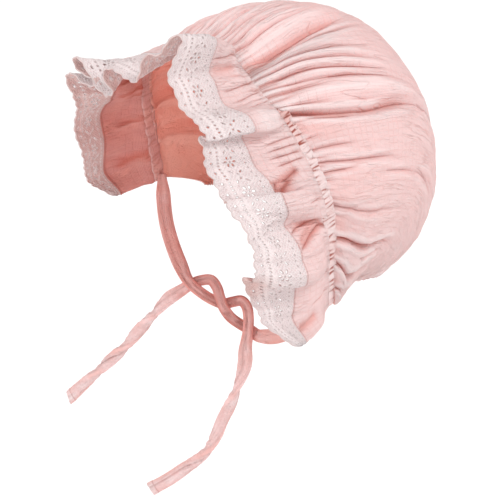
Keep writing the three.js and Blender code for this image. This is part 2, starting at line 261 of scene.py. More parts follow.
def seam_shift(phi):
    """How much further out the seam of the lace lies."""
    far = SEAM_SHIFT[0] * bell(phi, -CORNER_ANGLE, SEAM_SHIFT_OVER[0])
    near = SEAM_SHIFT[1] * bell(phi, CORNER_ANGLE, SEAM_SHIFT_OVER[1])
    return far + near


# Lengths along the frill
FINE_STEPS = 6001
LACE_MIDDLE = 43.0


def edge_at(reach):
    """Angles, and the length up to each of a line at a distance from the casing."""
    phi = np.linspace(-CORNER_ANGLE, CORNER_ANGLE, FINE_STEPS)
    return phi, running_length(frill_surface(phi, np.full_like(phi, reach)))


EDGE_PHI, EDGE_LENGTHS = edge_at(LACE_MIDDLE)
LACE_LENGTH = EDGE_LENGTHS[-1]


def even_columns(count, reach):
    """Angles that are evenly spaced along such a line."""
    phi, lengths = edge_at(reach)
    return np.interp(np.linspace(0, lengths[-1], count), lengths, phi)


# Gathers: pinched lines that start at the casing's puckers, each with its own length, depth and width
PUCKERS = 112
PUCKER_STEP = 2 * CORNER_ANGLE / PUCKERS
PUCKER_JITTER = 0.42
PUCKER_SEED = 3
PUCKER_AT = -CORNER_ANGLE + (np.arange(PUCKERS) + 0.5) * PUCKER_STEP
JITTERS = np.random.default_rng(PUCKER_SEED).uniform(-PUCKER_JITTER, PUCKER_JITTER, PUCKERS)
PUCKER_AT = PUCKER_AT + JITTERS * PUCKER_STEP
SMOOTH_SIDE = (rad(38), rad(52))  # the long gathers give way to a smooth side panel
SIDE_LENGTH = 0.5
PINCH_BIAS = 1.6  # more short ones than long ones
PINCH_WIDTHS = (0.7, 1.35)
PINCH_FADE_FROM = 0.2
PINCH_CREASE_OVER = 0.55
PINCH_FULL_CREASE = 2.0  # depth at which the crease is full


def pinches(at, lengths, depths, half_width, lean, seed):
    """Start, length, depth, lean and half width of each pinched line."""
    draw = np.random.default_rng(seed)
    count = len(at)
    length = lerp(*lengths, draw.random(count) ** PINCH_BIAS)
    length = length * lerp(1, SIDE_LENGTH, smoothstep(np.abs(at), *SMOOTH_SIDE))
    depth = draw.uniform(*depths, count)
    leans = draw.normal(0, lean, count)
    width = half_width * draw.uniform(*PINCH_WIDTHS, count)
    return list(zip(at, length, depth, leans, width))


def pinched(at, t, rows, spread):
    """Relief of pinched lines that widen by spread, and how sharp the crease is at their bottom, which sets
    its painted shade.
    """
    relief = np.zeros_like(t)
    crease = np.zeros_like(t)
    for start, length, deep, lean, width in rows:
        across = (at - start - lean * t) / (width * (1 + spread * t / length))
        shown = 1 - smoothstep(t, PINCH_FADE_FROM * length, length)
        relief -= deep * bell(across) * shown
        sharp = deep / PINCH_FULL_CREASE * bell(across, 0, PINCH_CREASE_OVER)
        crease = np.maximum(crease, sharp * shown)
    return relief, crease


# Folds: each row has the start and end of its stretch, its angle at each, its depth (ridges below zero), its
# half width and how sharp its crease is
BANKS_AT = (1.7, 0.9)  # soft ridges on both sides of a valley: place and width, in half widths


def folded(rows, at, t, scale, fade_in, fade_out_from, widths, power, banks, crease_width):
    """Relief of folds, each a valley between two soft banks, and how sharp their creases are, which sets
    their painted shade.
    """
    relief = np.zeros_like(t)
    crease = np.zeros_like(t)
    for start, end, first, last, depth, half_width, sharp in rows:
        s = np.clip((t - start) / (end - start), 0, 1)
        across = (at - rad(lerp(first, last, s))) * scale
        shown = smoothstep(t, start + fade_in[0], start + fade_in[1])
        shown = shown * (1 - smoothstep(t, lerp(start, end, fade_out_from), end))
        off = np.abs(across) / (half_width * lerp(*widths, s))
        relief += depth * shown * (banks * bell(off, *BANKS_AT) - np.exp(-(off**power)))
        line = bell(across, 0, crease_width[0] + crease_width[1] * half_width)
        crease = np.maximum(crease, sharp * shown * line)
    return relief, crease


# Mesh making
def make_object(name, vertices, faces, uv, attributes):
    """A smooth mesh from millimetres about the ear axis, with its cloth's lengths as uv."""
    mesh = bpy.data.meshes.new(name)
    mesh.from_pydata(((vertices - HEAD_SEAT) * MM).tolist(), [], faces)
    for key, values in attributes.items():
        layer = mesh.attributes.new(key, "FLOAT", "POINT")
        layer.data.foreach_set("value", np.asarray(values, np.float32))
    layer = mesh.uv_layers.new(name="cloth")
    corners = np.zeros(len(mesh.loops), np.int32)
    mesh.loops.foreach_get("vertex_index", corners)
    layer.data.foreach_set("uv", (uv * MM)[corners].astype(np.float32).ravel())
    mesh.shade_smooth()
    obj = bpy.data.objects.new(name, mesh)
    bpy.context.scene.collection.objects.link(obj)
    return obj


def grid_normals(points):
    return unit(np.cross(np.gradient(points, axis=0), np.gradient(points, axis=1)))


def grid_wall(name, points, wall, uv, fold, crease, inside):
    """A closed cloth wall over a grid of points, wall thick: columns first, rows second."""
    columns, rows = points.shape[:2]
    half = grid_normals(points) * (wall / 2)[..., None]
    vertices = np.concatenate([(points + half).reshape(-1, 3), (points - half).reshape(-1, 3)])
    index = np.arange(columns * rows).reshape(columns, rows)
    back = index + columns * rows
    faces = np.stack([index[:-1, :-1], index[1:, :-1], index[1:, 1:], index[:-1, 1:]], -1).reshape(-1, 4)
    under = np.stack([back[:-1, :-1], back[:-1, 1:], back[1:, 1:], back[1:, :-1]], -1).reshape(-1, 4)
    rims = []
    for line, far, turned in (
        (index[:, 0], back[:, 0], False),
        (index[:, -1], back[:, -1], True),
        (index[0], back[0], True),
        (index[-1], back[-1], False),
    ):
        rim = np.stack([line[1:], line[:-1], far[:-1], far[1:]], -1)
        rims.append(rim[:, ::-1] if turned else rim)
    faces = np.concatenate([faces, under, *rims]).tolist()
    shares = {
        "fold": np.tile(fold.reshape(-1), 2),
        "crease": np.tile(crease.reshape(-1), 2),
        "inside": np.repeat(inside, columns * rows),
    }
    return make_object(name, vertices, faces, np.tile(uv.reshape(-1, 2), (2, 1)), shares)


def ring_tube(name, rings, uv, shares):
    """A closed tube through rings of points, with flat ends."""
    count, sides = rings.shape[:2]
    index = np.arange(count * sides).reshape(count, sides)
    turned = np.roll(index, -1, axis=1)
    faces = np.stack([index[:-1], index[1:], turned[1:], turned[:-1]], -1).reshape(-1, 4).tolist()
    faces.append(index[0].tolist())
    faces.append(index[-1][::-1].tolist())
    flat_shares = {}
    for key, values in shares.items():
        flat_shares[key] = np.broadcast_to(values, (count, sides)).reshape(-1)
    return make_object(name, rings.reshape(-1, 3), faces, uv.reshape(-1, 2), flat_shares)


# Crown
CROWN_COLUMNS = 700
CROWN_ROWS = 68
ROW_CROWDING = 1.9  # rows lie closer together near the casing
CROWN_CLOTH = 1.1
CROWN_TUCK = 1.8  # its front edge lies inside the casing
CROWN_BILLOW = 2.0  # the cloth swells behind the casing
BILLOW_FROM = (0.01, 0.09)
BILLOW_OVER = 0.16
COVER_FROM = (rad(-16), rad(-9))  # between these the gathers run on over the casing
COVER_TO = (rad(29), rad(37))
COVER_AHEAD = 4.6
COVER_LIFT = 1.7
COVER_OVER = 0.06
COVER_EDGE = (-0.016, -0.008)
COVER_EDGE_LIFT = 0.3
COVER_RELIEF_AT = 0.025  # with the relief that they have here
HELD_OVER = 0.022  # the casing holds the gathers down
COVER_HELD = 0.2
NAPE_HELD = 0.8
NAPE_HELD_FROM = 0.93
EDGE_HELD = 0.25  # the lower edges lie flatter
EDGE_HELD_OVER = rad(5)
NAPE_HEM = 0.9
NAPE_HEM_AT = (0.965, 0.985)
CLOTH_WIDEST_AT = 0.4  # the share of the crown where its cloth lies flat, not gathered
CLOTH_LENGTH = 210.0
CROWN_CRINKLES = [(0.5, 60, 16, 21), (0.35, 150, 30, 22), (0.18, 300, 60, 23)]

# Tints: painted shade in valleys by their depth, a painted highlight on ridges by how far they stand out, and
# painted shade behind the casing
VALLEY_SHADE_RANGE = (1.4, 5.2)
RIDGE_HIGHLIGHT_RANGE = (0.1, 1.1)
RIDGE_HIGHLIGHT_SHARE = 0.95
RIDGE_BLUR = 10.0  # columns over which a ridge stands out from its neighbours
BEHIND_FROM = (rad(33), rad(44))
BEHIND_AT = (0.04, 0.07)
BEHIND_TINT = 0.4
BEHIND_PATCHES = [(0.3, 70, 20, 25)]

# How the crown's cloth runs back from the casing: angles of its lines at these shares of the crown
LEAN_AT = np.array([0.0, 0.1, 0.2, 0.35, 0.5, 1.0])
LEANS = np.array([
    (-118, -118, -118, -118, -118, -118),
    (-94, -95, -96, -97, -98, -98),
    (-72, -75, -77, -80, -82, -80),
    (-52, -55, -57, -59, -60, -57),
    (-32, -35, -38, -42, -43, -40),
    (-12, -16, -24, -28, -29, -26),
    (-5, -9, -13, -16, -17, -15),
    (0, -4, -7, -9, -10, -9),
    (4, 2, -2, -5, -6, -5),
    (12, 13, 9, 1, 0, 0),
    (15, 16, 14, 8, 6, 5),
    (17, 19, 21, 22, 20, 14),
    (19, 22, 26, 29, 27, 20),
    (22, 26, 31, 34, 32, 26),
    (25, 31, 35, 37, 35, 31),
    (31, 37, 41, 42, 38, 37),
    (36, 47, 52, 49, 43, 43),
    (50, 54, 57, 56, 53, 52),
    (55, 61, 65, 65, 63, 61),
    (61, 69, 73, 74, 72, 70),
    (81, 90, 94, 95, 93, 91),
    (95, 99, 103, 106, 104, 100),
    (102, 107, 111, 112, 111, 108),
    (111, 113, 115, 116, 116, 115),
    (118, 118, 118, 118, 118, 118),
], float)

# Folds along those lines, by shares of the crown and angles at the casing
CROWN_FOLDS = [
    (0.05, 0.60, -106, -106, 3.0, 5.0, 0.3),
    (0.00, 0.60, -94, -94, 3.5, 5.0, 0.4),
    (0.00, 0.45, -72, -72, 3.0, 5.0, 0.4),
    (0.05, 0.50, -52, -52, 3.5, 5.0, 0.3),
    (0.00, 0.45, -32, -32, 3.0, 4.5, 0.4),
    (0.00, 0.16, -18, -20, 2.5, 2.0, 0.6),
    (0.00, 0.28, -12, -12, 4.5, 3.6, 0.5),
    (0.00, 0.24, -5, -5, 2.0, 1.6, 0.7),
    (0.00, 0.26, 0, 0, 2.6, 1.7, 0.8),
    (0.00, 0.26, 4, 4, 2.6, 1.7, 0.8),
    (0.00, 0.36, 12, 12, 6.5, 5.0, 0.3),
    (0.00, 0.38, 15, 15, 2.6, 1.7, 1.0),
    (0.00, 0.32, 17, 17, 2.8, 1.8, 1.0),
    (0.00, 0.36, 19, 19, 2.8, 1.8, 1.0),
    (0.00, 0.38, 22, 22, 3.0, 1.9, 1.0),
    (0.00, 0.42, 25, 25, 3.0, 2.1, 1.0),
    (0.00, 0.16, 28, 28, 2.8, 1.8, 0.9),
    (0.03, 0.52, 31, 31, -2.8, 4.5, 0.0),
    (0.00, 0.52, 36, 36, 6.0, 3.2, 1.0),
    (0.18, 0.42, 33.5, 33.5, 2.5, 4.0, 0.3),
    (0.44, 0.74, 36, 36, 2.8, 3.4, 0.4),
    (0.42, 0.74, 66.5, 66.5, 2.2, 3.2, 0.3),
    (0.04, 0.18, 40, 40, 1.8, 1.3, 0.8),
    (0.00, 0.17, 55, 55, 2.4, 1.6, 0.8),
    (0.02, 0.36, 60.5, 60.5, 2.6, 1.8, 1.0),
    (0.00, 0.15, 66, 62, 2.2, 1.5, 0.8),
    (0.25, 0.46, 66.5, 66.5, 1.8, 1.8, 0.8),
    (0.00, 0.50, 81, 81, 2.4, 2.6, 0.7),
    (0.00, 0.72, 95, 95, 5.5, 3.0, 0.9),
    (0.30, 0.64, 97.7, 97.7, 2.2, 2.2, 0.5),
    (0.00, 0.56, 102, 102, 5.5, 2.8, 0.9),
    (0.00, 0.30, 111, 111, 3.2, 2.0, 0.8),
]
CROWN_FOLDING = {
    "fade_in": (-0.02, 0.03), "fade_out_from": 0.5, "widths": (0.7, 1.2), "power": 1.2,
    "banks": 0.3, "crease_width": (0.75, 0.0),
}

SHORT_PINCHES = pinches(PUCKER_AT, (0.04, 0.16), (0.9, 2.1), rad(0.5), rad(3), seed=3)
LONG_PINCHES = pinches(PUCKER_AT[::3], (0.16, 0.5), (0.4, 1.2), rad(0.8), rad(3), seed=5)
NAPE_PINCHES = pinches(PUCKER_AT[1::2], (0.08, 0.4), (0.9, 2.2), rad(1.0), rad(3), seed=8)
SHORT_SPREAD = 2.2
LONG_SPREAD = 1.6
SIDE_CALM = 0.8  # less of the long gathers on the smooth side panel

# How much painted shade shows in each kind of crease
FOLD_CREASE = 0.75
SHORT_CREASE = 0.8
LONG_CREASE = 0.3
NAPE_CREASE = 0.3


def lean_to(at, t):
    """Angle of the cloth's lines, by the angle where each leaves the casing and the share of the crown."""
    lines = np.stack([np.interp(at, rad(LEANS[:, 0]), rad(column)) for column in LEANS.T])
    slopes = np.gradient(lines, LEAN_AT, axis=0)
    following = np.clip(np.searchsorted(LEAN_AT, t), 1, len(LEAN_AT) - 1)
    span = LEAN_AT[following] - LEAN_AT[following - 1]
    s = (t - LEAN_AT[following - 1]) / span
    column = np.arange(len(at))[:, None]
    ends = (3 - 2 * s) * s * s
    return (
        (1 - ends) * lines[following - 1, column]
        + ends * lines[following, column]
        + span * s * (1 - s) * ((1 - s) * slopes[following - 1, column] - s * slopes[following, column])
    )


def crown_relief(at, phi, t):
    """Folds and gathers of the crown, and how sharp their creases are, which sets their painted shade."""
    scale = row_stretch(smooth_crown, phi, t) * np.gradient(phi, axis=0) / np.gradient(at, axis=0)
    folds, fold_crease = folded(CROWN_FOLDS, at, t, scale, **CROWN_FOLDING)
    short, short_crease = pinched(at, t, SHORT_PINCHES, SHORT_SPREAD)
    long, long_crease = pinched(at, t, LONG_PINCHES, LONG_SPREAD)
    nape, nape_crease = pinched(at, 1 - t, NAPE_PINCHES, SHORT_SPREAD)
    share = 1 - SIDE_CALM * smoothstep(np.abs(at), *SMOOTH_SIDE)
    crease = np.maximum(FOLD_CREASE * fold_crease, SHORT_CREASE * short_crease)
    crease = np.maximum(crease, LONG_CREASE * share * long_crease)
    crease = np.maximum(crease, NAPE_CREASE * nape_crease)
    return folds + short + share * long + nape, crease


def blurred(values, spread):
    """Values smoothed along the columns."""
    half = int(3 * spread)
    steps = np.arange(-half, half + 1)
    weights = bell(steps, 0, spread)
    padded = np.pad(values, ((half, half), (0, 0)), mode="edge")
    return np.stack([np.convolve(row, weights / weights.sum(), "valid") for row in padded.T], -1)


def build_crown():
    """The gathered panel, in columns that follow its cloth from the casing to the nape."""
    spread = (LEANS[:, 0] + LEANS[:, 2]) / 2
    at_line = rad(np.interp(np.linspace(spread[0], spread[-1], CROWN_COLUMNS), spread, LEANS[:, 0]))
    run = smooth_crown(at_line, np.full_like(at_line, NUDGE)) - smooth_crown(at_line, 0 * at_line)
    crown_length = np.linalg.norm(run, axis=-1) / NUDGE
    cover = smoothstep(at_line, *COVER_FROM) * (1 - smoothstep(at_line, *COVER_TO))
    first = (lerp(CROWN_TUCK, -COVER_AHEAD, cover) / crown_length)[:, None]
    cover = cover[:, None]
    steps = np.linspace(0, 1, CROWN_ROWS)
    steps = (steps + steps**ROW_CROWDING) / 2
    t = lerp(first, 1.0, steps[None])
    at = np.broadcast_to(at_line[:, None], t.shape)
    phi = lean_to(at_line, t)
    relief, crease = crown_relief(at, phi, np.maximum(t, lerp(first, COVER_RELIEF_AT, cover)))
    on_cover = smoothstep(t, 0, COVER_OVER)
    held = lerp(smoothstep(t, 0, HELD_OVER), lerp(COVER_HELD, 1, on_cover), cover)
    held = held * (1 - NAPE_HELD * smoothstep(t, NAPE_HELD_FROM, 1))
    held = held * lerp(EDGE_HELD, 1, smoothstep(CORNER_ANGLE - np.abs(phi), 0, EDGE_HELD_OVER))
    lift = cover * COVER_LIFT * (1 - on_cover) * lerp(COVER_EDGE_LIFT, 1, smoothstep(t, *COVER_EDGE))
    billow = CROWN_BILLOW * smoothstep(t, *BILLOW_FROM) * bell(t, 0, BILLOW_OVER)
    crinkle = crinkled(round_share(at), t, CROWN_CRINKLES)
    height = (relief + billow + crinkle) * held + lift
    points = smooth_crown(phi, t) + normals_of(smooth_crown, phi, t) * height[..., None]
    # Painted highlight on the ridges, painted shade in the valleys and behind the casing
    ridges = smoothstep(relief - blurred(relief, RIDGE_BLUR), *RIDGE_HIGHLIGHT_RANGE)
    behind = smoothstep(at, *BEHIND_FROM) * bell(t, *BEHIND_AT)
    fold = smoothstep(-relief, *VALLEY_SHADE_RANGE) - RIDGE_HIGHLIGHT_SHARE * ridges
    fold = fold + behind * (BEHIND_TINT + crinkled(round_share(at), t, BEHIND_PATCHES))
    widest = np.full((CROWN_COLUMNS, 1), CLOTH_WIDEST_AT)
    width = running_length(smooth_crown(lean_to(at_line, widest), widest)[:, 0])
    uv = np.stack([width[:, None] + 0 * t, t * CLOTH_LENGTH], -1)
    wall = CROWN_CLOTH + NAPE_HEM * smoothstep(t, *NAPE_HEM_AT)
    return grid_wall("crown_cloth", points, wall, uv, fold, crease, (0.0, 1.0))


# Casing: a flat channel with a slit at each pucker
CASING_COLUMNS = 1200
CASING_SIDES = 16
CASING_HALF_WIDTH = 4.2
CASING_HALF_DEPTH = 0.8
CASING_ROUNDING = 0.8
CASING_LIES = (1.0, 0.01)  # flat between this distance out on the frill and this share of the crown
CASING_UV = (95.0, 4.0)
CASING_SEED = 34
CASING_GROOVE = rad(0.42)
SLIT_SLANT = rad(0.5)
SLIT_STRENGTHS = (0.3, 1.0)
SLIT_BIAS = 0.7
SLIT_SIDES = [-0.6, 0.55]  # across the casing, from its front edge at -1
SLIT_SIDE_SPREAD = 0.2
SLIT_REACHES = (0.6, 1.3)
SLIT_DEPTH = 0.8
# Painted shade in the slits
SLIT_SHADE = 1.25
SLIT_EDGE = (0.06, 0.52)
SLIT_FOLD = 0.3
CLUSTERS = [(1.0, 30, 1, 35)]  # deeper slits come in clusters
CLUSTER_EDGE = (-0.5, 0.3)
CLUSTER_LEAST = 0.5
PLUMP_UNEVEN = [(0.25, 160, 1, 32)]
WIDTH_UNEVEN = [(0.16, 110, 1, 33)]
INNER_EDGE = 0.5  # its inside is smoother
INNER_PLUMP = 1.2
INNER_CALM = 0.6
# Tone of the casing: deeper all along and unevenly so, with painted shade where it is drawn in tightest
CASING_DEEPER = 0.2
DEEPER_UNEVEN = [(0.25, 44, 1, 36)]
TIGHT_SHADE = 0.5  # deeper in colour where it is drawn in tightest, beside the brow
TIGHT_AT = (rad(36), rad(10))


def build_casing():
    """The shirred channel between crown and frill."""
    phi = np.linspace(-CORNER_ANGLE, CORNER_ANGLE, CASING_COLUMNS)
    middle, along, _, _ = casing_frame(phi)
    front = frill_surface(phi, np.full_like(phi, CASING_LIES[0]))
    ahead = unit(front - smooth_crown(phi, np.full_like(phi, CASING_LIES[1])))
    out = unit(np.cross(ahead, along))
    share = round_share(phi)
    turn = np.linspace(0, 2 * np.pi, CASING_SIDES, endpoint=False)
    across = np.cos(turn)
    draw = np.random.default_rng(CASING_SEED)
    slant = draw.normal(0, SLIT_SLANT, PUCKERS)
    bow = draw.normal(0, SLIT_SLANT, PUCKERS)
    strength = draw.uniform(*SLIT_STRENGTHS, PUCKERS) ** SLIT_BIAS
    clusters = smoothstep(uneven(round_share(PUCKER_AT), CLUSTERS), *CLUSTER_EDGE)
    strength = strength * lerp(CLUSTER_LEAST, 1, clusters)
    centre = draw.choice(SLIT_SIDES, PUCKERS) + draw.normal(0, SLIT_SIDE_SPREAD, PUCKERS)
    reach = draw.uniform(*SLIT_REACHES, PUCKERS)
    side = across[:, None]
    off = phi[:, None, None] - PUCKER_AT - slant * side - bow * side**2
    shown = strength * bell(side, centre, reach)
    grooves = np.clip((bell(off, 0, CASING_GROOVE) * shown).sum(-1), 0, 1)
    inner = smoothstep(-np.sin(turn), 0, INNER_EDGE)
    plump = 1 - SLIT_DEPTH * grooves + uneven(share, PLUMP_UNEVEN)[:, None]
    plump = lerp(plump, INNER_PLUMP, inner)
    wide = CASING_HALF_WIDTH * (1 + uneven(share, WIDTH_UNEVEN))
    deep = CASING_HALF_DEPTH * plump * np.sign(np.sin(turn)) * np.abs(np.sin(turn)) ** CASING_ROUNDING
    rings = (
        middle[:, None]
        - ahead[:, None] * (wide[:, None] * across)[..., None]
        + out[:, None] * deep[..., None]
    )
    uv = np.stack(np.broadcast_arrays((phi * CASING_UV[0])[:, None], across * CASING_UV[1]), -1)
    # Deeper uneven tone with painted shade beside the brow and in the slits, and painted shade on the inner
    # side
    tone_and_shade = CASING_DEEPER + uneven(share, DEEPER_UNEVEN) + TIGHT_SHADE * bell(phi, *TIGHT_AT)
    slits = SLIT_SHADE * smoothstep(grooves, *SLIT_EDGE) * (1 - INNER_CALM * inner)
    shares = {"fold": tone_and_shade[:, None] + SLIT_FOLD * grooves, "crease": slits, "inside": inner}
    return ring_tube("casing_cloth", rings, uv, shares)


# Frill
FRILL_COLUMNS = 960
FRILL_ROWS = 28
FRILL_EVEN_AT = 24.0  # its columns are evenly spaced at this distance from the casing
FRILL_TUCK = 1.6
FRILL_CLOTH = 1.0
FRILL_FREE_FROM = (2.5, 6.0)
FRILL_HELD_OVER = 2.5
FRILL_BILLOW_FROM = (3.5, 11.0)
FRILL_BILLOW_AT = (8.0, 6.0)
FRILL_CRINKLES = [(0.5, 90, 3, 42), (0.2, 260, 8, 43)]
FRILL_CRINKLES_RUN = 30.0
FRILL_CRINKLES_FROM = (5.0, 16.0)
# Painted shade in the valleys, and a painted highlight on the ridges
FRILL_VALLEY_SHADE_RANGE = (0.5, 2.6)
FRILL_RIDGE_HIGHLIGHT_RANGE = (0.3, 1.8)
FRILL_RIDGE_HIGHLIGHT_SHARE = 0.9
SEAM_AT = 27.6  # the row of stitches beside the lace
SEAM_BEFORE = 0.9
SEAM_ROWS = np.array([-0.4, 0.0, 0.35, 0.7])
SEAM_HALF_WIDTH = 0.3
SEAM_DEPTH = 0.4
# A darker line along the seam: the stitches' own colour, with painted shade in their dip
SEAM_CREASE = 0.9
FRILL_PINCHES = pinches(PUCKER_AT, (9, 26), (0.5, 1.3), rad(0.42), rad(0.06), seed=41)
FRILL_SPREAD = 1.4
FRILL_PINCH_CREASE = 0.7
FRILL_LEAST_SCALE = 70.0  # millimetres a radian, where the frill turns tightly
FRILL_FOLDING = {
    "fade_in": (-2.0, 2.0), "fade_out_from": 0.6, "widths": (1.0, 1.0), "power": 1.3,
    "banks": 0.0, "crease_width": (0.3, 0.3),
}

# Folds, by distances from the casing
FRILL_FOLDS = [
    (3, 26, -108, -111, 2.6, 4.5, 0.2),
    (3, 24, -97, -99, 1.6, 1.6, 0.6),
    (3, 31, -83, -82, 2.8, 3.0, 0.3),
    (3, 22, -88, -88, 1.4, 1.6, 0.5),
    (10, 28, -72, -75, 1.8, 1.8, 0.8),
    (3, 18, -50, -52, 1.2, 1.0, 0.8),
    (3, 22, -20, -18, 1.4, 1.2, 0.8),
    (10, 30, 12, 12, 2.0, 4.5, 0.0),
    (8, 30, 9, 10, 1.2, 1.0, 0.8),
    (3, 26, 19, 21, 1.4, 1.0, 0.9),
    (3, 24, 24, 26, 1.2, 0.9, 0.9),
    (3, 20, 29, 31, 1.2, 0.9, 0.8),
    (5, 28, 37, 39, -2.2, 6.0, 0.0),
    (3, 19, 47, 49, 1.5, 1.0, 1.0),
    (3, 20, 50.5, 52.5, 1.8, 1.0, 1.0),
    (3, 21, 54, 56, 1.8, 1.0, 1.0),
    (3, 19, 57, 60, 1.6, 1.0, 1.0),
    (9, 36, 62, 71, 3.8, 3.0, 1.0),
    (15, 36, 66.5, 71, 2.4, 4.5, 1.0),
    (3, 14, 76, 77, 1.0, 1.0, 0.8),
    (3, 31, 90, 95, 2.4, 1.6, 1.0),
    (7, 31, 88, 91.5, 2.2, 1.5, 1.0),
    (6, 29, 89.5, 93.5, 3.0, 3.8, 0.0),
    (13, 31, 114.5, 115.5, 3.0, 3.4, 0.0),
    (3, 16, 105, 106, 1.2, 1.0, 0.8),
    (3, 18, 111, 112, 1.2, 1.0, 0.8),
]


def frill_relief(phi, reach):
    """Gathers and folds of the frill, and how sharp their creases are, which sets their painted shade."""
    gathers, gather_crease = pinched(phi, reach, FRILL_PINCHES, FRILL_SPREAD)
    scale = np.maximum(row_stretch(frill_surface, phi, reach), FRILL_LEAST_SCALE)
    folds, fold_crease = folded(FRILL_FOLDS, phi, reach, scale, **FRILL_FOLDING)
    return gathers + folds, np.maximum(FRILL_PINCH_CREASE * gather_crease, fold_crease)


def build_frill():
    """The ruffled muslin, from inside the casing to the seam of the lace."""
    phi_line = even_columns(FRILL_COLUMNS, FRILL_EVEN_AT)
    to_seam = np.linspace(FRILL_TUCK, SEAM_AT - SEAM_BEFORE, FRILL_ROWS)
    phi, reach = np.meshgrid(phi_line, np.concatenate([to_seam, SEAM_AT + SEAM_ROWS]), indexing="ij")
    relief, crease = frill_relief(phi, reach)
    billow = smoothstep(reach, *FRILL_BILLOW_FROM) * bell(reach, *FRILL_BILLOW_AT)
    crinkle = crinkled(round_share(phi), reach / FRILL_CRINKLES_RUN, FRILL_CRINKLES)
    crinkle = crinkle * smoothstep(reach, *FRILL_CRINKLES_FROM)
    seam = bell(reach, SEAM_AT, SEAM_HALF_WIDTH)
    free = smoothstep(reach, *FRILL_FREE_FROM) * (1 - smoothstep(reach, FRILL_TO - FRILL_HELD_OVER, FRILL_TO))
    height = (relief + billow + crinkle) * free - SEAM_DEPTH * seam
    shifted = reach * (1 + seam_shift(phi) / SEAM_AT)
    points = frill_surface(phi, shifted) - normals_of(frill_surface, phi, shifted) * height[..., None]
    # Painted shade in the valleys, and a painted highlight on the ridges
    fold = smoothstep(-relief, *FRILL_VALLEY_SHADE_RANGE) - FRILL_RIDGE_HIGHLIGHT_SHARE * smoothstep(relief, *FRILL_RIDGE_HIGHLIGHT_RANGE)
    # The seam's darker stitches, with painted shade in their dip
    crease = np.maximum(crease, SEAM_CREASE * seam)
    wall = np.full(phi.shape, FRILL_CLOTH)
    uv = np.stack([np.interp(phi, EDGE_PHI, EDGE_LENGTHS), reach], -1)
    return grid_wall("frill_cloth", points, wall, uv, fold, crease, (1.0, 0.0))


# Lace: one repeat is charted as eyelets, x along the edge and y out from the seam, in millimetres
LACE_REPEAT = 19.0
LACE_FROM = 27.8
LACE_WIDTH = LACE_TO - LACE_FROM
LACE_CLOTH = 0.7
FLOWER = (9.5, 13.5)
PETALS = 6
PETAL_RING = 2.7
PETAL = (1.15, 0.7)  # half length and half width
BUD = (0.55, 0.55)
LEAF = (1.3, 0.5)
LEAVES = [(6.6, 10.2, 0.9), (6.4, 16.2, -0.7)]  # distance to the flower's side, y and turn
BESIDE = (1.35, 17.65)
BESIDE_Y = 13.2
BESIDE_HOLE = (0.6, 0.6)

# Rows of eyelets: x of the first, step, count, y, half length, half width, turn
EYELET_ROWS = [
    (1.05, 2.11, 9, 21.0, 0.75, 0.42, math.pi / 2),
    (1.6, 3.167, 6, 4.6, 0.5, 0.5, 0.0),
    (3.167, 6.333, 3, 25.0, 0.75, 0.75, 0.0),
]
EYELET_SIDES = 8
EYELET_RIM = 0.45
RIM_SCALE = 1.2
GROUND_STEP = 1.15
GROUND_CLEAR = 0.25  # no point of the ground lies closer to a rim
HOLE_SLACK = 0.02
MERGE_WITHIN = 1e-4
SCALLOPS = 3
SCALLOP_DEPTH = 1.3
SCALLOP_OVER = 7.0
END_ROUND = 11.0  # the end corners are rounded
END_ROUND_OVER = rad(5)
LACE_WAVES = [(0.5, 150, 5, 51)]
LACE_WAVES_OVER = 6.0
PEEK_AT = (rad(104.0), rad(2.0))  # where the edge shows past the ruffle in front of it, and over how much
PEEK_REACH = 14.0
PEEK = (0.0, -7.0, 10.5)
PEEK_SHADE = 2.4

# Raised threads: cords along the outer edge and beside the row of long eyelets, and the eyelets' rims
EDGE_CORD = 0.9
CORDS_AT = (23.0, 19.0)
CORD_HALF_WIDTH = 0.6
CORD_SHARE = 0.7
RIM_OVER = 0.5
GROUND_THICK = 0.75
RIM_THICK = 0.7
CORD_THICK = 0.6
RIM_SHADE_OVER = 0.3
EDGE_SHADE = 0.7
EDGE_SHADE_OVER = 0.5
# Less of the painted shade on the rims of the inner face
INNER_RIM_PALE = 0.9  # the rims are paler inside


def eyelet_chart():
    """Eyelets of a repeat: centre x and y, half length, half width and turn."""
    rows = []
    x, y = FLOWER
    for k in range(PETALS):
        turn = k * 2 * math.pi / PETALS + math.pi / PETALS
        rows.append((x + PETAL_RING * math.cos(turn), y + PETAL_RING * math.sin(turn), *PETAL, turn))
    rows.append((x, y, *BUD, 0))
    for side in (-1, 1):
        for distance, leaf_y, turn in LEAVES:
            rows.append((x + side * distance, leaf_y, *LEAF, side * turn))
    rows += [(beside, BESIDE_Y, *BESIDE_HOLE, 0) for beside in BESIDE]
    for first, step, count, *rest in EYELET_ROWS:
        rows += [(first + step * k, *rest) for k in range(count)]
    return rows


EYELETS = eyelet_chart()


def past_rim(points):
    """Distance past the rim of the nearest eyelet, about, in millimetres."""
    nearest = np.full(len(points), np.inf)
    for x, y, long_half, short_half, turn in EYELETS:
        dx = points[:, 0] - x
        dy = points[:, 1] - y
        a = (dx * math.cos(turn) + dy * math.sin(turn)) / long_half
        b = (-dx * math.sin(turn) + dy * math.cos(turn)) / short_half
        past = (np.sqrt(a * a + b * b) - 1) * min(long_half, short_half) * RIM_SCALE
        nearest = np.minimum(nearest, past)
    return nearest


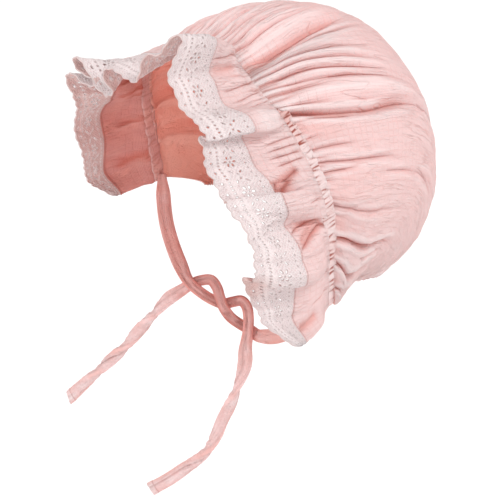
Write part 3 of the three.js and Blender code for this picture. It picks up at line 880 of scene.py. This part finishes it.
def lace_repeat():
    """A flat repeat: its points, its triangles, and the distance of each point past a rim."""
    coords = []
    edges = []
    k = np.arange(EYELET_SIDES) * 2 * np.pi / EYELET_SIDES
    for x, y, long_half, short_half, turn in EYELETS:
        for grow in (0.0, EYELET_RIM):
            px = (long_half + grow) * np.cos(k)
            py = (short_half + grow) * np.sin(k)
            ring_x = x + px * math.cos(turn) - py * math.sin(turn)
            ring_y = y + px * math.sin(turn) + py * math.cos(turn)
            start = len(coords)
            coords += np.stack([ring_x, ring_y], -1).tolist()
            if grow == 0.0:
                edges += [(start + i, start + (i + 1) % EYELET_SIDES) for i in range(EYELET_SIDES)]

    # The ground between them: an even grid, without points on or close to an eyelet, and the sides
    along = np.linspace(0, LACE_REPEAT, int(round(LACE_REPEAT / GROUND_STEP)) + 1)
    outward = np.linspace(0, LACE_WIDTH, int(round(LACE_WIDTH / GROUND_STEP)) + 1)
    ground = np.stack(np.meshgrid(along, outward, indexing="ij"), -1).reshape(-1, 2)
    on_side = (ground[:, 0] < TINY) | (ground[:, 0] > LACE_REPEAT - TINY)
    on_side |= (ground[:, 1] < TINY) | (ground[:, 1] > LACE_WIDTH - TINY)
    coords += ground[on_side | (past_rim(ground) > EYELET_RIM + GROUND_CLEAR)].tolist()
    flat, _, triangles, *_ = delaunay_2d_cdt([Vector(c) for c in coords], edges, [], 0, MERGE_WITHIN)
    flat = np.array([tuple(p) for p in flat])
    triangles = np.array(triangles)
    triangles = triangles[past_rim(flat[triangles].mean(axis=1)) > -HOLE_SLACK]
    used, renumbered = np.unique(triangles, return_inverse=True)
    flat = flat[used]
    triangles = renumbered.reshape(-1, 3)
    a, b, c = (flat[triangles[:, corner]] for corner in range(3))
    clockwise = np.cross(b - a, c - a) < 0
    triangles[clockwise] = triangles[clockwise][:, ::-1]
    return flat, triangles, past_rim(flat)


def joined_repeats(flat, triangles, near, repeats):
    """Repeats side by side, each with the points of the one before it along their common side."""
    points = []
    rims = []
    joined = []
    previous = None
    for r in range(repeats):
        number = np.zeros(len(flat), int)
        for i, (x, y) in enumerate(flat):
            if previous is not None and x < TINY:
                number[i] = previous[round(y, 3)]
                continue
            number[i] = len(points)
            points.append((x + r * LACE_REPEAT, y))
            rims.append(near[i])
        previous = {round(y, 3): number[i] for i, (x, y) in enumerate(flat) if x > LACE_REPEAT - TINY}
        joined.append(number[triangles])
    return np.array(points), np.array(rims), np.concatenate(joined)


def open_sides(triangles):
    """Sides that only one triangle has."""
    sides = {}
    for a, b, c in triangles.tolist():
        for side in ((a, b), (b, c), (c, a)):
            if side[::-1] in sides:
                del sides[side[::-1]]
            else:
                sides[side] = True
    return list(sides)


def build_lace():
    """The pierced strip, laid out over the ruffles past the seam."""
    repeats = int(round(LACE_LENGTH / LACE_REPEAT))
    stretch = LACE_LENGTH / (repeats * LACE_REPEAT)
    points, rims, triangles = joined_repeats(*lace_repeat(), repeats)
    x, y = points.T
    phi = np.interp(x * stretch, EDGE_LENGTHS, EDGE_PHI)
    scallop = np.abs(np.sin(np.pi * SCALLOPS * x / LACE_REPEAT))
    outer = LACE_WIDTH - SCALLOP_DEPTH * (1 - scallop) * smoothstep(y, LACE_WIDTH - SCALLOP_OVER, LACE_WIDTH)
    to_corner = np.clip(1 - (CORNER_ANGLE - np.abs(phi)) / END_ROUND_OVER, 0, 1)
    outer = outer - END_ROUND * (1 - np.sqrt(1 - to_corner**2))
    shift = seam_shift(phi)
    reach = LACE_FROM + shift + y * (outer - shift) / LACE_WIDTH
    normals = normals_of(frill_surface, phi, reach)
    wave = crinkled(round_share(phi), y / LACE_WIDTH, LACE_WAVES) * smoothstep(y, 0, LACE_WAVES_OVER)
    peek = bell(phi, *PEEK_AT) * smoothstep(y, LACE_WIDTH - PEEK_REACH, LACE_WIDTH)
    middle = frill_surface(phi, reach) + normals * wave[:, None] + np.outer(peek, PEEK)
    at_rim = bell(rims, 0, RIM_OVER)
    cord = bell(y, LACE_WIDTH, EDGE_CORD)
    for cord_at in CORDS_AT:
        cord += CORD_SHARE * bell(y, cord_at, CORD_HALF_WIDTH)
    thick = LACE_CLOTH / 2 * (GROUND_THICK + RIM_THICK * at_rim + CORD_THICK * cord)
    half = normals * thick[:, None]
    count = len(points)
    walls = [(b, a, a + count, b + count) for a, b in open_sides(triangles)]
    faces = triangles.tolist() + (triangles[:, ::-1] + count).tolist() + walls
    edge_shade = EDGE_SHADE * smoothstep(y, LACE_WIDTH - EDGE_SHADE_OVER, LACE_WIDTH)
    rim_shade = np.maximum(smoothstep(-rims, -RIM_SHADE_OVER, 0), edge_shade)
    # Painted shade round the rims and along the edge on one face, on the other face away from the rims, and
    # where the edge peeks out
    shares = {
        "fold": np.tile(np.clip(at_rim + cord, 0, 1), 2),
        "crease": np.concatenate([0 * rim_shade, rim_shade]),
        "inside": np.concatenate([1 - INNER_RIM_PALE * at_rim, np.minimum(1, PEEK_SHADE * peek)]),
    }
    uv = np.tile(np.stack([x * stretch, y], -1), (2, 1))
    return make_object("lace_cloth", np.concatenate([middle + half, middle - half]), faces, uv, shares)


# Ties, along the solids' routes: x, y, z and twist of the tape in degrees
TIE_WIDTH = 9.0
TIE_THICKNESS = 1.8
TIE_FACING = np.array([0.58, -0.5, 0.64]) / math.sqrt(0.58**2 + 0.5**2 + 0.64**2)
RIGHT_TIE_ROUTE = np.array([
    (-76.3, -1, 5, 0), (-69, -5, -4, 0), (-58, -11, -13, 0), (-46, -16, -20, 0), (-32, -21, -25, 0),
    (-19, -25, -27, 0), (-10.5, -22, -32, 0), (-5, -16.5, -37.5, 0), (-1.5, -13, -39, 0), (2, -9, -37.5, 0),
    (6.5, -6, -35.5, 0), (11, -6, -37, 0), (15, -8, -41, 0), (18, -11, -49, 0), (18, -13, -62, 0),
    (17, -13, -77, 0), (14, -16, -94, 70), (11, -19, -110, 150), (7, -23, -126, 180), (4, -27, -142, 215),
    (-2, -31, -158, 300), (-13, -37, -175, 350), (-24, -44, -191, 360), (-36, -50, -206, 360),
], float)
LEFT_TIE_ROUTE = np.array([
    (75.9, -1, 4.5, 0), (69, -4, -6, 0), (61, -7, -16, 0), (52, -9, -27, 0), (42, -10, -37, 0),
    (31, -10, -45, 0), (20.5, -6.5, -53, 0), (13.5, -5.5, -54.5, 0), (9, -9.5, -50.5, 0), (6, -15, -43, 0),
    (2, -17, -36, 0), (-2, -16, -32, 0), (-7, -14, -29, 0), (-13, -13.5, -27.5, 0), (-18, -17, -29, 0),
    (-22, -21, -32, 0), (-26, -26, -37, 0), (-34, -31, -47, 20), (-43, -34, -62, 70), (-53, -39, -80, 165),
    (-63, -43, -98, 265), (-73, -47, -114, 360), (-84, -53, -131, 455), (-95, -58, -148, 530),
    (-105, -63, -164, 570),
], float)
TIE_PER_SPAN = 20
TIE_SIDES = 32
TIE_SQUARENESS = 0.75
KNOT_CENTRE = np.array([-1.0, -15.0, -38.0])
KNOT_CORE = 20.0
KNOT_FADE = 38.0
KNOT_WIDTH = 0.72  # of the tape's width, bunched
KNOT_DEPTH = 1.8  # of its thickness
START_WIDTH = 0.6  # drawn together where it's sewn in
START_WIDTH_OVER = 14.0
START_SHIFT_OVER = 1.2  # in points of the route
RIGHT_TIE_START = (1.0, 1.0, 5.0)  # laid against the casing
LEFT_TIE_START = (-4.0, 0.0, 0.0)  # tucked under the frill's near end
TAIL_FROM = (0.5, 0.62)  # share of the length
TAIL_FULLNESS = 1.9  # the free ends are rolled and fuller than the stretch above the knot
TAIL_NARROWING = 0.12
RIGHT_FLAT_FROM = 0.84  # and flat again from here on
LEFT_FLAT_FROM = 0.93
FLAT_OVER = 0.06
TIE_CUFF = 6.0  # hemmed end
CUFF_STEP = 0.4
CUFF_WIDENING = 0.06
CUFF_SEAM = 0.6
LAP_AT = (0.3, 0.1)  # one edge laps over the other along the face: its place across, and half width
LAP_DEPTH = 0.5
STITCH_AT = 0.72
STITCH_OVER = 0.1
STITCH_DEPTH = 0.12
TIE_WRINKLES = [(0.3, 90, 5, 61)]

# Tints of the ties, by the share of the length and the place across: painted shade above the knot, at the
# tail's edges, along the lap and in the knot, painted light on the knot, and the stitches', hem's and
# patches' own tone
ABOVE_KNOT = (0.38, 0.6)
# Painted shade on the stretch above the knot
SHADE_ABOVE_KNOT = 1.1  # deeper in colour up to the knot
# Painted light on the knot, whose painted shadow lies mostly at its edges
KNOT_PALE = 0.25
# Painted shade at the tail's edges
TAIL_EDGE_SHADES = ((0.9, 0.55), (0.4, 0.7))  # how deep, and from where across, at each edge
TIE_PATCHES = [(0.4, 40, 3, 62)]
STITCH_TINT = 0.15
STITCH_TINT_OVER = 0.12
CUFF_PALE = 0.2
STITCH_CREASE = 0.12
CUFF_CREASE = 0.7
# Painted shade along the lap
LAP_CREASES = (0.25, 0.6)  # before and in the tail
# Painted shade in spots in the knot's folds
KNOT_CREASE = 0.5
KNOT_SPOTS = [(1.0, 60, 3, 63)]
KNOT_SPOT_EDGE = 0.6
KNOT_SHADOW = 0.45
ABOVE_SHADOW = 0.15
SHADOW_MIDDLE = 0.2
SHADOW_EDGE = 0.9
SHADOW_EDGE_FROM = 0.3


def catmull_rom(points, per_span):
    """A centripetal Catmull-Rom line through points, with its place in rows."""
    ends = [2 * points[0] - points[1], *points, 2 * points[-1] - points[-2]]
    line = []
    rows = []
    for i in range(len(points) - 1):
        p0, p1, p2, p3 = ends[i : i + 4]
        d = [max(np.linalg.norm(b - a) ** 0.5, TINY) for a, b in ((p0, p1), (p1, p2), (p2, p3))]
        m1 = ((p1 - p0) / d[0] - (p2 - p0) / (d[0] + d[1]) + (p2 - p1) / d[1]) * d[1]
        m2 = ((p2 - p1) / d[1] - (p3 - p1) / (d[1] + d[2]) + (p3 - p2) / d[2]) * d[1]
        c2 = 3 * (p2 - p1) - 2 * m1 - m2
        c3 = 2 * (p1 - p2) + m1 + m2
        last = i == len(points) - 2
        for s in np.linspace(0, 1, per_span + last, endpoint=last):
            line.append(p1 + m1 * s + c2 * s * s + c3 * s**3)
            rows.append(i + s)
    return np.array(line), np.array(rows)


def build_tie(name, route, flat_from, start_shift):
    """A tape along its route, bunched in the knot and rolled in its tail, with its path and length."""
    line, rows = catmull_rom(route[:, :3], TIE_PER_SPAN)
    line = line + np.outer(bell(rows, 0, START_SHIFT_OVER), start_shift)
    tangent = unit(np.gradient(line, axis=0))
    twist = rad(np.interp(rows, np.arange(len(route)), route[:, 3]))[:, None]
    across = unit(np.cross(tangent, TIE_FACING))
    turned = across * np.cos(twist) + np.cross(tangent, across) * np.sin(twist)
    face = np.cross(turned, tangent)
    lengths = running_length(line)
    length = lengths[-1]
    share = lengths / length
    free = smoothstep(np.linalg.norm(line - KNOT_CENTRE, axis=1), KNOT_CORE, KNOT_FADE)
    tail = smoothstep(share, *TAIL_FROM)
    rolled = tail * (1 - smoothstep(share, flat_from, flat_from + FLAT_OVER))
    cuff = smoothstep(lengths, length - TIE_CUFF - CUFF_STEP, length - TIE_CUFF + CUFF_STEP)
    half_width = TIE_WIDTH / 2 * lerp(KNOT_WIDTH, 1 - TAIL_NARROWING * rolled, free)
    half_width = half_width * (1 + CUFF_WIDENING * cuff)
    half_width = half_width * lerp(START_WIDTH, 1, smoothstep(lengths, 0, START_WIDTH_OVER))
    half_depth = TIE_THICKNESS / 2 * lerp(KNOT_DEPTH, 1 + TAIL_FULLNESS * rolled, free)
    ring = np.linspace(0, 2 * np.pi, TIE_SIDES, endpoint=False)
    flat = np.sign(np.cos(ring)) * np.abs(np.cos(ring)) ** TIE_SQUARENESS
    deep = np.sign(np.sin(ring)) * np.abs(np.sin(ring)) ** TIE_SQUARENESS
    lap = bell(flat, *LAP_AT) * (deep > 0)
    dip = 1 - LAP_DEPTH * lap - STITCH_DEPTH * bell(np.abs(flat), STITCH_AT, STITCH_OVER)
    u, v = np.broadcast_arrays(share[:, None], (flat + 1) / 2)
    wrinkle = 1 + crinkled(u, v, TIE_WRINKLES)
    rings = (
        line[:, None]
        + turned[:, None] * (half_width[:, None] * flat)[..., None]
        + face[:, None] * (half_depth[:, None] * deep * dip * wrinkle)[..., None]
    )
    uv = np.stack(np.broadcast_arrays(lengths[:, None], flat * TIE_WIDTH / 2), -1)
    shares = tie_tints(lengths, free[:, None], tail[:, None], cuff[:, None], flat, lap, u, v)
    path = (line - HEAD_SEAT) * MM
    return ring_tube(name, rings, uv, shares), path, length * MM


def tie_tints(lengths, free, tail, cuff, flat, lap, u, v):
    """Shares of the ties' tints, painted shade and light among them, over their length and across."""
    above = 1 - smoothstep(u, *ABOVE_KNOT)
    stitched = bell(np.abs(flat), STITCH_AT, STITCH_TINT_OVER)
    # The tape's own tone, with painted shade above the knot and at the tail's edges, and painted light on the
    # knot
    tone_and_shade = SHADE_ABOVE_KNOT * above - KNOT_PALE * (1 - free)
    for edge, (deep, start) in zip((flat, -flat), TAIL_EDGE_SHADES):
        tone_and_shade = tone_and_shade + deep * tail * smoothstep(edge, start, 1)
    tone_and_shade = tone_and_shade + crinkled(u, v, TIE_PATCHES) + STITCH_TINT * stitched - CUFF_PALE * cuff
    sewn = bell(lengths, lengths[-1] - TIE_CUFF, CUFF_SEAM)[:, None]
    crease = np.maximum(STITCH_CREASE * stitched, lap * lerp(*LAP_CREASES, tail))
    crease = np.maximum(crease, CUFF_CREASE * sewn)
    spots = smoothstep(crinkled(u, v, KNOT_SPOTS), 0, KNOT_SPOT_EDGE)
    crease = np.maximum(crease, KNOT_CREASE * (1 - free) * spots)
    shadow = KNOT_SHADOW * (1 - free) + ABOVE_SHADOW * above
    shadow = shadow * (SHADOW_MIDDLE + SHADOW_EDGE * smoothstep(np.abs(flat), SHADOW_EDGE_FROM, 1))
    # The painted shadow goes in the inside share
    return {"fold": tone_and_shade, "crease": crease, "inside": shadow}


# Colours
# Painted highlight on the ridges
PINK_HIGHLIGHT = (0.97, 0.93, 0.93, 1)
PINK_PALE = (0.94, 0.83, 0.825, 1)
PINK_BASE = (0.92, 0.76, 0.755, 1)
# Deeper pink: painted shade in folds, wrinkles and the grid, and the deeper tone of casing and ties, partly
# painted shade
PINK_DEEP = (0.80, 0.40, 0.35, 1)
# Painted shade in creases, slits, along the lap and in the knot, and the darker colour of stitch lines
PINK_CREASE = (0.40, 0.115, 0.09, 1)
PINK_GLOW = (0.93, 0.40, 0.31, 1)
PINK_SHEEN = (1.0, 0.93, 0.92, 1)
# Painted glow of light through the cloth, on the crown's inner face
CROWN_INNER_GLOW = (0.98, 0.45, 0.33, 1)
# Painted shade on the inner faces of the frill and the casing
FRILL_INNER_SHADE = (0.58, 0.215, 0.185, 1)
# Patches of painted light on the inner faces
INSIDE_LIT = (0.97, 0.53, 0.44, 1)
# Painted shade in the folds of the inner faces
INSIDE_FOLD_SHADE = (0.62, 0.16, 0.11, 1)
TIE_BASE = (0.90, 0.58, 0.57, 1)
KNOT_SHADE = (0.88, 0.24, 0.20, 1)
LACE_WHITE = (0.97, 0.93, 0.93, 1)
# Painted shade in the pits of the net
LACE_PIT_SHADE = (0.82, 0.70, 0.71, 1)
# Painted shade on the lace's inner face and where its edge peeks out
LACE_INNER_SHADE = (0.72, 0.40, 0.34, 1)
# Painted shade round the eyelets and along the outer edge
LACE_RIM_SHADE = (0.30, 0.21, 0.20, 1)
LACE_GLOW = (0.86, 0.74, 0.74, 1)
LACE_SHEEN = (1.0, 0.97, 0.97, 1)
FLOOR_WHITE = (0.97, 0.97, 0.97, 1)
STUDIO_WHITE = (1.0, 0.98, 0.97, 1)

# Weave of the muslin, for cloth measured in metres: noises by scale and detail, bands by scale and
# distortion, and how much of each tint shows
CRINKLES = ((620, 190, 1), 3.0)
PATCHES = ((60, 45, 1), 3.0)
WRINKLE_DETAIL = 2.0
GRID = (78.0, 1.5)
THREADS = (420.0, 1.2)
NOISE_ROUGHNESS = 0.58
BUMP_STRENGTH = 0.7
MUSLIN_BUMP = 0.0008
WRINKLE_EDGE = 0.028
WRINKLE_PATCHES = (0.4, 0.62)
GRID_EDGE = 0.86
GRID_PATCHES = (0.62, 0.42)
LIT_PATCHES = (0.45, 0.7)
THREAD_HEIGHT = 0.35
WRINKLE_HEIGHT = -0.9
GRID_HEIGHT = -0.35
# Shares of painted shade in the grid, wrinkles and folds, of a painted highlight on ridges, of painted glow,
# shade and light inside, and of painted shade in creases
GRID_SHOWN = 0.16
WRINKLE_SHOWN = (0.34, 0.05)  # outside and inside
RIDGE_SHOWN = -0.8  # ridges are folds below zero
FOLD_SHOWN = 0.62
INSIDE_SHOWN = 0.8
LIT_SHOWN = 0.5
INSIDE_FOLD_SHOWN = 0.4
CREASE_SHOWN = 0.8

# Net of the lace, likewise
NET_SCALE = 700.0
NET_RANDOM = 0.35
NET_THREAD = (0.02, 0.32)
SLUBS = ((500, 900, 1), 2.0, 0.5)  # and roughness
LACE_BUMP = 0.0005
LACE_THROUGH = 0.35
PIT_HEIGHT = -0.9
# Shares of painted shade on the inner face and round the rims
LACE_INSIDE_SHOWN = 0.6
LACE_RIM_SHOWN = 0.5


# Materials
def new_material(name):
    material = bpy.data.materials.new(name)
    material.use_nodes = True
    material.node_tree.nodes.clear()
    return material, material.node_tree


def node(tree, kind, settings=None, inputs=None):
    made = tree.nodes.new(kind)
    for key, value in (settings or {}).items():
        setattr(made, key, value)
    for key, value in (inputs or {}).items():
        if isinstance(value, bpy.types.NodeSocket):
            tree.links.new(value, made.inputs[key])
        else:
            made.inputs[key].default_value = value
    return made


def cloth_uv(tree):
    return node(tree, "ShaderNodeUVMap", {"uv_map": "cloth"}).outputs["UV"]


def attribute(tree, name):
    return node(tree, "ShaderNodeAttribute", {"attribute_name": name}).outputs["Fac"]


def fac(tree, operation, *values):
    return node(tree, "ShaderNodeMath", {"operation": operation}, dict(enumerate(values))).outputs[0]


def remap(tree, value, low, high, to_low=0.0, to_high=1.0):
    ends = {"From Min": low, "From Max": high, "To Min": to_low, "To Max": to_high}
    return node(tree, "ShaderNodeMapRange", None, {"Value": value, **ends}).outputs["Result"]


def tint(tree, amount, a, b):
    mixed = node(tree, "ShaderNodeMix", {"data_type": "RGBA"}, {"Factor": amount, "A": a, "B": b})
    return mixed.outputs["Result"]


def shaded(tree, tone, amount, shown, colour):
    """A tone with some of another colour, as much as shown where the amount is full."""
    return tint(tree, fac(tree, "MULTIPLY", amount, shown), tone, colour)


def noise(tree, uv, scale, detail, roughness=NOISE_ROUGHNESS):
    stretched = node(tree, "ShaderNodeMapping", None, {"Vector": uv, "Scale": scale}).outputs["Vector"]
    return node(
        tree, "ShaderNodeTexNoise", None,
        {"Vector": stretched, "Scale": 1.0, "Detail": detail, "Roughness": roughness},
    ).outputs["Fac"]


def bands(tree, uv, direction, scale, distortion):
    return node(
        tree, "ShaderNodeTexWave", {"wave_type": "BANDS", "bands_direction": direction},
        {"Vector": uv, "Scale": scale, "Distortion": distortion, "Detail": 1.0, "Detail Scale": 1.5},
    ).outputs["Fac"]


def bumped(tree, height, distance):
    return node(
        tree, "ShaderNodeBump", None, {"Strength": BUMP_STRENGTH, "Distance": distance, "Height": height}
    ).outputs["Normal"]


def thin_cloth(tree, bump, surface, glow, through_share):
    """Cloth that lets a share of the light through, as the material's surface."""
    cloth = node(tree, "ShaderNodeBsdfPrincipled", None, {**surface, "Normal": bump}).outputs["BSDF"]
    through = node(tree, "ShaderNodeBsdfTranslucent", None, {"Color": glow, "Normal": bump}).outputs["BSDF"]
    mixed = node(tree, "ShaderNodeMixShader", None, {0: through_share, 1: cloth, 2: through}).outputs[0]
    node(tree, "ShaderNodeOutputMaterial", None, {"Surface": mixed})


def muslin(name, pale, base, inner, through_share, wrinkle_scale):
    """Double gauze: a fine crinkled weave that lets some light through, with painted shade in its folds,
    wrinkles and creases, a painted highlight on its ridges, and painted glow and shade inside.
    """
    material, tree = new_material(name)
    uv = cloth_uv(tree)
    fold = attribute(tree, "fold")
    inside = attribute(tree, "inside")
    patches = noise(tree, uv, *PATCHES)

    # Thin wrinkles, where a stretched noise crosses its middle, that come and go in patches
    stretched = noise(tree, uv, wrinkle_scale, WRINKLE_DETAIL)
    off_line = fac(tree, "ABSOLUTE", fac(tree, "SUBTRACT", stretched, 0.5))
    wrinkle = remap(tree, off_line, 0.0, WRINKLE_EDGE, 1.0, 0.0)
    wrinkle = fac(tree, "MULTIPLY", wrinkle, remap(tree, patches, *WRINKLE_PATCHES))

    # The open grid that ties the two layers of gauze, and the threads
    grid = fac(tree, "MAXIMUM", *(bands(tree, uv, way, *GRID) for way in "XY"))
    grid = fac(tree, "MULTIPLY", remap(tree, grid, GRID_EDGE, 1.0), remap(tree, patches, *GRID_PATCHES))
    threads = fac(tree, "MULTIPLY", *(bands(tree, uv, way, *THREADS) for way in "XY"))
    height = fac(tree, "MULTIPLY_ADD", threads, THREAD_HEIGHT, noise(tree, uv, *CRINKLES))
    height = fac(tree, "MULTIPLY_ADD", wrinkle, WRINKLE_HEIGHT, height)
    height = fac(tree, "MULTIPLY_ADD", grid, GRID_HEIGHT, height)

    # The cloth's own uneven pink, then painted shade in the grid, wrinkles and folds, a painted highlight on
    # ridges, painted glow and shade inside with patches of painted light, and painted shade in folds inside
    # and in creases
    tone = tint(tree, patches, base, pale)
    tone = shaded(tree, tone, grid, GRID_SHOWN, PINK_DEEP)
    tone = shaded(tree, tone, wrinkle, remap(tree, inside, 0.0, 1.0, *WRINKLE_SHOWN), PINK_DEEP)
    tone = shaded(tree, tone, fold, RIDGE_SHOWN, PINK_HIGHLIGHT)
    tone = shaded(tree, tone, fold, FOLD_SHOWN, PINK_DEEP)
    tone = shaded(tree, tone, inside, INSIDE_SHOWN, inner)
    tone = shaded(tree, tone, inside, remap(tree, patches, *LIT_PATCHES, 0.0, LIT_SHOWN), INSIDE_LIT)
    tone = shaded(tree, tone, fac(tree, "MULTIPLY", inside, fold), INSIDE_FOLD_SHOWN, INSIDE_FOLD_SHADE)
    tone = shaded(tree, tone, attribute(tree, "crease"), CREASE_SHOWN, PINK_CREASE)
    surface = {
        "Base Color": tone, "Roughness": 0.88, "Specular IOR Level": 0.25,
        "Sheen Weight": 0.25, "Sheen Roughness": 0.5, "Sheen Tint": PINK_SHEEN,
    }
    thin_cloth(tree, bumped(tree, height, MUSLIN_BUMP), surface, PINK_GLOW, through_share)
    return material


def lace_thread(name):
    """White cotton: a fine net ground, with raised cords and eyelet rims, and painted shade in the net's
    pits, round the rims, along the edge and on its inner face.
    """
    material, tree = new_material(name)
    uv = cloth_uv(tree)
    turned = node(tree, "ShaderNodeMapping", None, {"Vector": uv, "Rotation": (0, 0, rad(45))})
    net = node(
        tree, "ShaderNodeTexVoronoi", {"feature": "DISTANCE_TO_EDGE"},
        {"Vector": turned.outputs["Vector"], "Scale": NET_SCALE, "Randomness": NET_RANDOM},
    ).outputs["Distance"]
    # Painted shade in the net's pits, on the ground between cords and rims
    ground = fac(tree, "SUBTRACT", 1.0, attribute(tree, "fold"))
    pits = fac(tree, "MULTIPLY", remap(tree, net, *NET_THREAD), ground)
    slub = noise(tree, uv, *SLUBS)
    height = fac(tree, "MULTIPLY_ADD", pits, PIT_HEIGHT, slub)
    tone = tint(tree, pits, LACE_WHITE, LACE_PIT_SHADE)
    tone = shaded(tree, tone, attribute(tree, "inside"), LACE_INSIDE_SHOWN, LACE_INNER_SHADE)
    tone = shaded(tree, tone, attribute(tree, "crease"), LACE_RIM_SHOWN, LACE_RIM_SHADE)
    surface = {
        "Base Color": tone, "Roughness": 0.8, "Specular IOR Level": 0.3,
        "Sheen Weight": 0.2, "Sheen Tint": LACE_SHEEN,
    }
    thin_cloth(tree, bumped(tree, height, LACE_BUMP), surface, LACE_GLOW, LACE_THROUGH)
    return material


# Colours, with the painted glow and shade inside, the share of light let through, and the wrinkles' scale
crown_material = muslin("crown_muslin", PINK_PALE, PINK_BASE, CROWN_INNER_GLOW, 0.33, (230, 26, 1))
casing_material = muslin("casing_muslin", PINK_PALE, PINK_BASE, FRILL_INNER_SHADE, 0.2, (230, 60, 1))
frill_material = muslin("frill_muslin", PINK_PALE, PINK_BASE, FRILL_INNER_SHADE, 0.32, (260, 45, 1))
tie_material = muslin("tie_muslin", PINK_BASE, TIE_BASE, KNOT_SHADE, 0.15, (30, 380, 1))
lace_material = lace_thread("lace")


# Pieces
def place(obj, material, slot, *nodes):
    obj.data.materials.append(material)
    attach(obj, "root")
    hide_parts(*nodes)
    return obj


right_tie, *right_run = build_tie("tie_right_tape", RIGHT_TIE_ROUTE, RIGHT_FLAT_FROM, RIGHT_TIE_START)
left_tie, *left_run = build_tie("tie_left_tape", LEFT_TIE_ROUTE, LEFT_FLAT_FROM, LEFT_TIE_START)
place(right_tie, tie_material, "tie_muslin", "tie_right")
place(left_tie, tie_material, "tie_muslin", "tie_left")

crown = place(build_crown(), crown_material, "crown_muslin", "crown")
place(build_casing(), casing_material, "casing_muslin", "elastic_casing")
frill = place(build_frill(), frill_material, "frill_muslin", "frill")
lace = place(build_lace(), lace_material, "lace", "lace_trim")

# Floor, light and camera, in metres
FLOOR_Z = -0.62
FLOOR_HALF = 6.0
FLOOR_CORNERS = [(-1, -1), (1, -1), (1, 1), (-1, 1)]
STUDIO_STRENGTH = 0.7

# Soft lights: name, place, target, size and power
LIGHTS = [
    ("key", (1.7, 0.9, 2.8), (0, 0, -0.08), 1.6, 61),
    ("fill", (1.6, -2.1, 1.4), (0, -0.05, -0.1), 2.2, 28),
    ("front", (-1.8, -2.0, 0.9), (0, -0.05, -0.1), 2.0, 22),
]
CAMERA_AZIMUTH = rad(49)
CAMERA_ELEVATION = rad(40)
CAMERA_DISTANCE = 1.0
PIXEL = 0.59 * MM  # at the ear axis
FRAME_PIXELS = 500
AIM_PIXEL = (242, 246)  # where the ear axis shows in the photograph's frame
SENSOR = 36.0


def set_floor():
    mesh = bpy.data.meshes.new("floor")
    corners = [(x * FLOOR_HALF, y * FLOOR_HALF, FLOOR_Z) for x, y in FLOOR_CORNERS]
    mesh.from_pydata(corners, [], [(0, 1, 2, 3)])
    obj = bpy.data.objects.new("floor", mesh)
    bpy.context.scene.collection.objects.link(obj)
    material, tree = new_material("floor")
    plain = node(tree, "ShaderNodeBsdfPrincipled", None, {"Base Color": FLOOR_WHITE, "Roughness": 0.9})
    node(tree, "ShaderNodeOutputMaterial", None, {"Surface": plain.outputs["BSDF"]})
    mesh.materials.append(material)


def set_light():
    world = bpy.data.worlds.new("studio")
    bpy.context.scene.world = world
    world.use_nodes = True
    background = world.node_tree.nodes["Background"]
    background.inputs["Color"].default_value = STUDIO_WHITE
    background.inputs["Strength"].default_value = STUDIO_STRENGTH
    bpy.context.scene.view_settings.view_transform = "Standard"
    for name, stand, target, size, power in LIGHTS:
        data = bpy.data.lights.new(name, "AREA")
        data.shape = "DISK"
        data.size = size
        data.energy = power
        obj = bpy.data.objects.new(name, data)
        obj.location = stand
        obj.rotation_euler = (Vector(target) - Vector(stand)).to_track_quat("-Z", "Y").to_euler()
        bpy.context.scene.collection.objects.link(obj)


def set_camera():
    back = Vector((
        math.cos(CAMERA_ELEVATION) * math.sin(CAMERA_AZIMUTH),
        -math.cos(CAMERA_ELEVATION) * math.cos(CAMERA_AZIMUTH),
        math.sin(CAMERA_ELEVATION),
    ))
    right = Vector((math.cos(CAMERA_AZIMUTH), math.sin(CAMERA_AZIMUTH), 0))
    up = back.cross(right)
    off_x, off_y = ((FRAME_PIXELS / 2 - pixel) * PIXEL for pixel in AIM_PIXEL)
    aim = Vector(-HEAD_SEAT * MM) + right * off_x - up * off_y
    data = bpy.data.cameras.new("camera")
    data.sensor_width = SENSOR
    data.lens = SENSOR * CAMERA_DISTANCE / (FRAME_PIXELS * PIXEL)
    obj = bpy.data.objects.new("camera", data)
    turned = Matrix((right, up, back)).transposed().to_4x4()
    obj.matrix_world = Matrix.Translation(aim + back * CAMERA_DISTANCE) @ turned
    bpy.context.scene.collection.objects.link(obj)
    bpy.context.scene.camera = obj


set_floor()
set_light()
set_camera()
